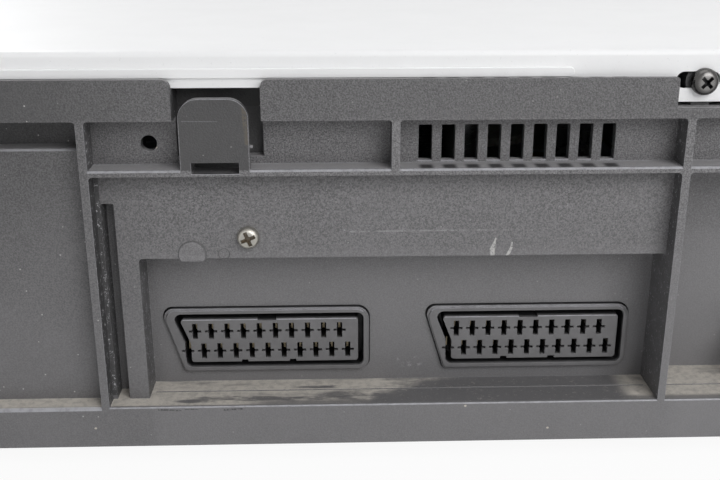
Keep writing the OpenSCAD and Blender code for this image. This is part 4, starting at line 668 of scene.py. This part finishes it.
def rear_plastic():
    """The rear wall's dark grained plastic, with painted light and shade, wear, dust and dirt."""
    p = Paint("rear_plastic", WALL_GREY, 0.5)
    wall_tones(p)
    side_walls(p)
    field_tones(p)
    tongue_tones(p)
    wall_edges(p)
    top = p.faces(UP, LEVEL)
    inside = p.along(Y, REAR_Y - 1.2, REAR_Y - 0.3, 1, 0)
    fine = p.patches(900, (0.56, 0.74), 4, 0.8)
    recess_dust(p, top, inside, fine)
    bay_floor_dust_and_light(p, top, inside, fine)
    ragged = p.patches(1700, (0.38, 0.52), 4, 0.8)
    field_marks(p, p.within(Y, FIELD_Y - 0.6, FIELD_Y + 0.4), ragged)
    wall_marks(p, p.faces(REARWARD, OUTER), ragged)
    p.show()
    p.set("Roughness", p.patches(300, (0.3, 0.7), 4, out=(0.42, 0.58)))
    coarser = p.along(Z, FINE_GRAIN_Z, LIP_Z, 0.35, 1.0)
    p.bump(p.multiply(p.noise(2700, 3, 0.55), coarser), 0.18)
    return p


def socket_moulding():
    """The video sockets: the wall's grey, smoother, with painted shade near black in the depth of the
    groove and slots.
    """
    p = Paint("socket_plastic", WALL_GREY, 0.44)
    p.base = p.blend(p.patches(160, (0.3, 0.7), 4), shade(WALL_GREY, 0.92), shade(WALL_GREY, 1.10))
    # Wear and painted highlight on the rim's top edges
    p.worn_and_lit_edges(EDGE_GREY, p.along(Z, SOCKET_RIM_Z - 0.1, SOCKET_RIM_Z + 0.1), 0.6)
    face = p.faces(REARWARD, OUTER)
    top = p.within(Z, SOCKET_EDGE_Z - 0.24, SOCKET_EDGE_Z + 0.1, 0.06)
    uneven = p.patches(300, (0.35, 0.65), 3, 0.7, (0.5, 0.95))
    # Painted highlight along each insert's top edge
    for ends in SOCKET_INSERTS_X:
        p.coat(EDGE_GREY, face, top, p.within(X, *ends, 0.1), uneven)
    p.coat(shade(WALL_GREY, 2.2), p.patches(900, (0.60, 0.76), 4, 0.8), 0.3)
    # Painted shade, near black, deep in the groove and the slots
    p.coat(SHADE_BLACK, p.along(Y, SOCKET_FACE_Y - 1.3, SOCKET_FACE_Y - 0.36, 0.93, 0))
    p.show()
    p.set("Roughness", p.patches(300, (0.3, 0.7), out=(0.38, 0.52)))
    p.bump(p.noise(2600, 2, 0.5), 0.03)
    return p


# Screws seen at the rear: places in (x, z) and sizes, in mm
COVER_SCREWS = ((-88.9, 88.15), (88.9, 88.15))
COVER_RECESS_Y = 141.95
FIELD_SCREW = (8.3, 53.8)
FIELD_RECESS_Y = 139.8
RECESS_RADIUS = 2.375
RECESS_LENGTH = 0.01
HEAD_MIDDLE_RADIUS = 1.7
HEAD_MIDDLE_SOFT = 0.5
GRIME_BROWN = (0.10, 0.07, 0.04)


def recess_shade_and_grime(p, place, recess_y, shade_and_grime_patches):
    """The cross recess of one screw, for the painted shade and the grime that fill it."""
    end = (place[0] + RECESS_LENGTH, place[1])
    near = p.stroke(place, end, RECESS_RADIUS, RECESS_RADIUS)
    low = p.along(Y, recess_y - 0.12, recess_y - 0.02, 1, 0)
    return p.multiply(near, low, shade_and_grime_patches)


def screw_dark():
    """Dark screws of the cover: a painted highlight in the middle of the head, painted shade and grime
    black in the recess.
    """
    color = (0.10, 0.097, 0.095)
    p = metal("screw_dark", color, 0.24, tarnish=0.25)
    shade_and_grime_patches = p.patches(900, (0.3, 0.6), 3, 0.7, (0.75, 1.0))
    for place in COVER_SCREWS:
        # Painted highlight on the middle of the head
        p.coat(shade(color, 2.3), p.disc(place, HEAD_MIDDLE_RADIUS, HEAD_MIDDLE_SOFT))
        # Painted shade and grime, black, in the cross recess
        p.coat(SHADE_BLACK, recess_shade_and_grime(p, place, COVER_RECESS_Y, shade_and_grime_patches))
    p.show()
    return p


def screw_bright():
    """Bright screw of the field: painted shade in the middle of the head, dull brown grime in the recess.
    """
    color = (0.60, 0.58, 0.53)
    p = metal("screw_bright", color, 0.36, tarnish=0.25)
    shade_and_grime_patches = p.patches(900, (0.3, 0.6), 3, 0.7, (0.75, 1.0))
    # Painted shade on the middle of the head, leaving a bright rim
    p.coat(shade(color, 0.6), p.disc(FIELD_SCREW, HEAD_MIDDLE_RADIUS, HEAD_MIDDLE_SOFT))
    dirt = recess_shade_and_grime(p, FIELD_SCREW, FIELD_RECESS_Y, shade_and_grime_patches)
    p.coat(GRIME_BROWN, dirt)
    p.show()
    p.set("Metallic", p.math("SUBTRACT", 1.0, dirt))
    return p


# Plain materials of the other pieces
def dark_moulding():
    return moulded("dark_moulding", (0.085, 0.082, 0.086), 0.5, dust=0.3)


def front_moulding():
    return front_plastic("front_moulding", (0.36, 0.36, 0.37), 0.36)


def rubber_black():
    color = (0.02, 0.02, 0.02)
    return moulded("rubber_black", color, 0.8, dust=0.2, mottle=0.15, grain=0.05, grain_scale=1800)


def black_moulding():
    color = (0.016, 0.016, 0.017)
    return moulded("black_moulding", color, 0.36, dust=0.25, mottle=0.2, grain=0.02, grain_scale=2400)


def contact_metal():
    return metal("contact_metal", (0.40, 0.34, 0.23), 0.42)


def bright_metal():
    return metal("bright_metal", (0.72, 0.71, 0.68), 0.22)


def sheet_zinc():
    return metal("sheet_zinc", (0.55, 0.56, 0.58), 0.36, streak=(1, 0.05, 1), streak_scale=900)


def window_dark():
    return moulded("window_dark", (0.010, 0.011, 0.014), 0.08, dust=0.05, grain=0, specular=0.22)


def board_green():
    color = (0.03, 0.12, 0.05)
    return moulded("board_green", color, 0.35, dust=0.2, mottle=0.25, grain=0.02, grain_scale=900)


def board_brown():
    color = (0.28, 0.18, 0.07)
    return moulded("board_brown", color, 0.45, dust=0.2, mottle=0.2, grain=0.02, grain_scale=900)


def tube_glass():
    return moulded("tube_glass", (0.02, 0.035, 0.035), 0.1, dust=0, grain=0)


def spring_steel():
    return metal("spring_steel", (0.45, 0.45, 0.46), 0.25)


def transformer_core():
    color = (0.30, 0.20, 0.05)
    return moulded("transformer_core", color, 0.35, dust=0.3, mottle=0.2, grain=0.03, grain_scale=700)


def capacitor_sleeve():
    return moulded("capacitor_sleeve", (0.02, 0.03, 0.09), 0.25, dust=0.2, grain=0)


def sink_aluminium():
    return metal("sink_aluminium", (0.55, 0.56, 0.57), 0.4, streak=(1, 1, 0.05))


def ribbon_plastic():
    color = (0.62, 0.62, 0.58)
    return moulded("ribbon_plastic", color, 0.45, dust=0.2, mottle=0.05, grain=0.03, grain_scale=900)


def chip_plastic():
    color = (0.02, 0.02, 0.02)
    return moulded("chip_plastic", color, 0.5, dust=0.2, mottle=0.2, grain=0.02, grain_scale=2400)


def drum_aluminium():
    return metal("drum_aluminium", (0.72, 0.73, 0.74), 0.18, streak=(0.2, 0.2, 8), streak_scale=900)


def white_plastic():
    color = (0.68, 0.66, 0.58)
    return moulded("white_plastic", color, 0.42, dust=0.1, mottle=0.05, grain=0.02, grain_scale=1500)


def roller_rubber():
    color = (0.015, 0.015, 0.015)
    return moulded("roller_rubber", color, 0.7, dust=0, mottle=0.2, grain=0.03, grain_scale=1800)


def motor_metal():
    return metal("motor_metal", (0.42, 0.43, 0.44), 0.3)


# Each function is named after the slot that it finishes, and rear_plastic is the rear wall's own
MAKERS = {maker.__name__: maker for maker in (
    cover_paint, front_moulding, key_plastic, window_dark, tube_glass,
    dark_moulding, rear_plastic, socket_moulding, screw_dark, screw_bright,
    rubber_black, black_moulding, white_plastic, ribbon_plastic, chip_plastic, roller_rubber,
    contact_metal, bright_metal, sheet_zinc, spring_steel, sink_aluminium, drum_aluminium, motor_metal,
    board_green, board_brown, transformer_core, capacitor_sleeve,
)}
FINISHED = {}


def material(slot):
    """The finished material of one slot, made once."""
    if slot not in FINISHED:
        FINISHED[slot] = MAKERS[slot]().material
    return FINISHED[slot]


# Soft edges: widths in mm, and nodes whose small recesses would be spoiled by a bevel
UNBEVELLED = {"rear_screws", "side_screws", "panel_screws", "video_contacts"}
EDGE_WIDTHS = {"rear_panel": 0.10, "top_cover": 0.10, "front_panel": 0.25, "cassette_flap": 0.25}
EDGE_WIDTH = 0.12
EDGE_SEGMENTS = 2
WELD_DISTANCE = 0.002
FLAT_ANGLE = math.radians(0.4)
SPLIT_ANGLE = math.radians(38)
BEVEL_ANGLE = math.radians(40)


def soften(name, obj):
    """Soft edges as modifiers on the kept mesh."""
    weld = obj.modifiers.new("weld", "WELD")
    weld.merge_threshold = WELD_DISTANCE * MM
    if name in UNBEVELLED:
        split = obj.modifiers.new("split", "EDGE_SPLIT")
        split.use_edge_sharp = False
        split.split_angle = SPLIT_ANGLE
        return
    flat = obj.modifiers.new("flat", "DECIMATE")
    flat.decimate_type = "DISSOLVE"
    flat.angle_limit = FLAT_ANGLE
    bevel = obj.modifiers.new("bevel", "BEVEL")
    bevel.width = EDGE_WIDTHS.get(name, EDGE_WIDTH) * MM
    bevel.segments = EDGE_SEGMENTS
    bevel.limit_method = "ANGLE"
    bevel.angle_limit = BEVEL_ANGLE
    bevel.harden_normals = False
    bevel.use_clamp_overlap = False
    normals = obj.modifiers.new("normals", "WEIGHTED_NORMAL")
    normals.keep_sharp = False


def dress_nodes():
    """Gives every CAD node its material and soft edges."""
    slots = {s["node"]: s["material_slot"] for s in frame["record"]["subparts"]}
    slots["rear_panel"] = "rear_plastic"
    for name, obj in nodes.items():
        obj.data.materials.clear()
        obj.data.materials.append(material(slots[name]))
        soften(name, obj)
        for polygon in obj.data.polygons:
            polygon.use_smooth = True


# Floor and surroundings, sizes in metres
FLOOR_SIZE = 6
FLOOR_GAP = 0.0002
FLOOR_GREY = (0.86, 0.86, 0.86, 1)
FLOOR_ROUGH = 0.6
FLOOR_GLOW = (1, 1, 1, 1)
FLOOR_GLOW_SHARE = 0.93
SKY_COLOR = (0.96, 0.98, 1.0, 1)
SKY_STRENGTH = 0.17
BACKGROUND_WHITE = (0.97, 0.97, 0.97, 1)


def seen_by(tree, *rays):
    """1 for the named kinds of light ray, 0 for all others."""
    path = add_node(tree, "ShaderNodeLightPath")
    total = path.outputs[rays[0]]
    for ray in rays[1:]:
        added = add_node(tree, "ShaderNodeMath", total, path.outputs[ray], operation="ADD", use_clamp=True)
        total = added.outputs[0]
    return total


def make_floor():
    """A pale floor that looks nearly white and still takes the recorder's shadow."""
    bpy.ops.mesh.primitive_plane_add(size=FLOOR_SIZE, location=(0, 0, -FLOOR_GAP))
    floor = bpy.context.object
    floor.name = "floor"
    surface = bpy.data.materials.new("floor")
    surface.use_nodes = True
    tree = surface.node_tree
    shader = tree.nodes["Principled BSDF"]
    fill(tree, shader, "Base Color", FLOOR_GREY)
    fill(tree, shader, "Roughness", FLOOR_ROUGH)
    glow = add_node(tree, "ShaderNodeEmission", FLOOR_GLOW, 1.0)
    seen = seen_by(tree, "Is Camera Ray", "Is Glossy Ray")
    share = add_node(tree, "ShaderNodeMath", seen, FLOOR_GLOW_SHARE, operation="MULTIPLY").outputs[0]
    mix = add_node(tree, "ShaderNodeMixShader", share, shader.outputs[0], glow.outputs[0])
    fill(tree, tree.nodes["Material Output"], "Surface", mix.outputs[0])
    floor.data.materials.append(surface)


def make_world():
    """A soft sky for the light, and plain white where the background shows."""
    world = bpy.data.worlds.new("world")
    bpy.context.scene.world = world
    world.use_nodes = True
    tree = world.node_tree
    tree.nodes.clear()
    sky = add_node(tree, "ShaderNodeBackground", SKY_COLOR, SKY_STRENGTH)
    white = add_node(tree, "ShaderNodeBackground", BACKGROUND_WHITE, 1.0)
    seen = seen_by(tree, "Is Camera Ray", "Is Glossy Ray", "Is Transmission Ray")
    mix = add_node(tree, "ShaderNodeMixShader", seen, sky.outputs[0], white.outputs[0])
    add_node(tree, "ShaderNodeOutputWorld", mix.outputs[0])


# Lamps: name, place, target and width in metres, power in watts
LAMPS = (
    ("key", (-0.32, 0.62, 0.46), (-0.03, 0.14, 0.04), 0.45, 3.1),
    ("above", (0.0, 0.10, 1.35), (0, 0, 0), 1.1, 5.2),
    ("front_fill", (0.75, -1.0, 0.9), (0, 0, 0.05), 0.8, 8.0),
)


def area_lamp(name, place, target, width, power):
    data = bpy.data.lights.new(name, "AREA")
    data.shape = "SQUARE"
    data.size = width
    data.energy = power
    lamp = bpy.data.objects.new(name, data)
    lamp.location = place
    lamp.rotation_euler = aim(Vector(target) - Vector(place))
    bpy.context.scene.collection.objects.link(lamp)


make_camera()
dress_nodes()
make_floor()
make_world()
for lamp in LAMPS:
    area_lamp(*lamp)
bpy.context.scene.view_settings.view_transform = "Standard"
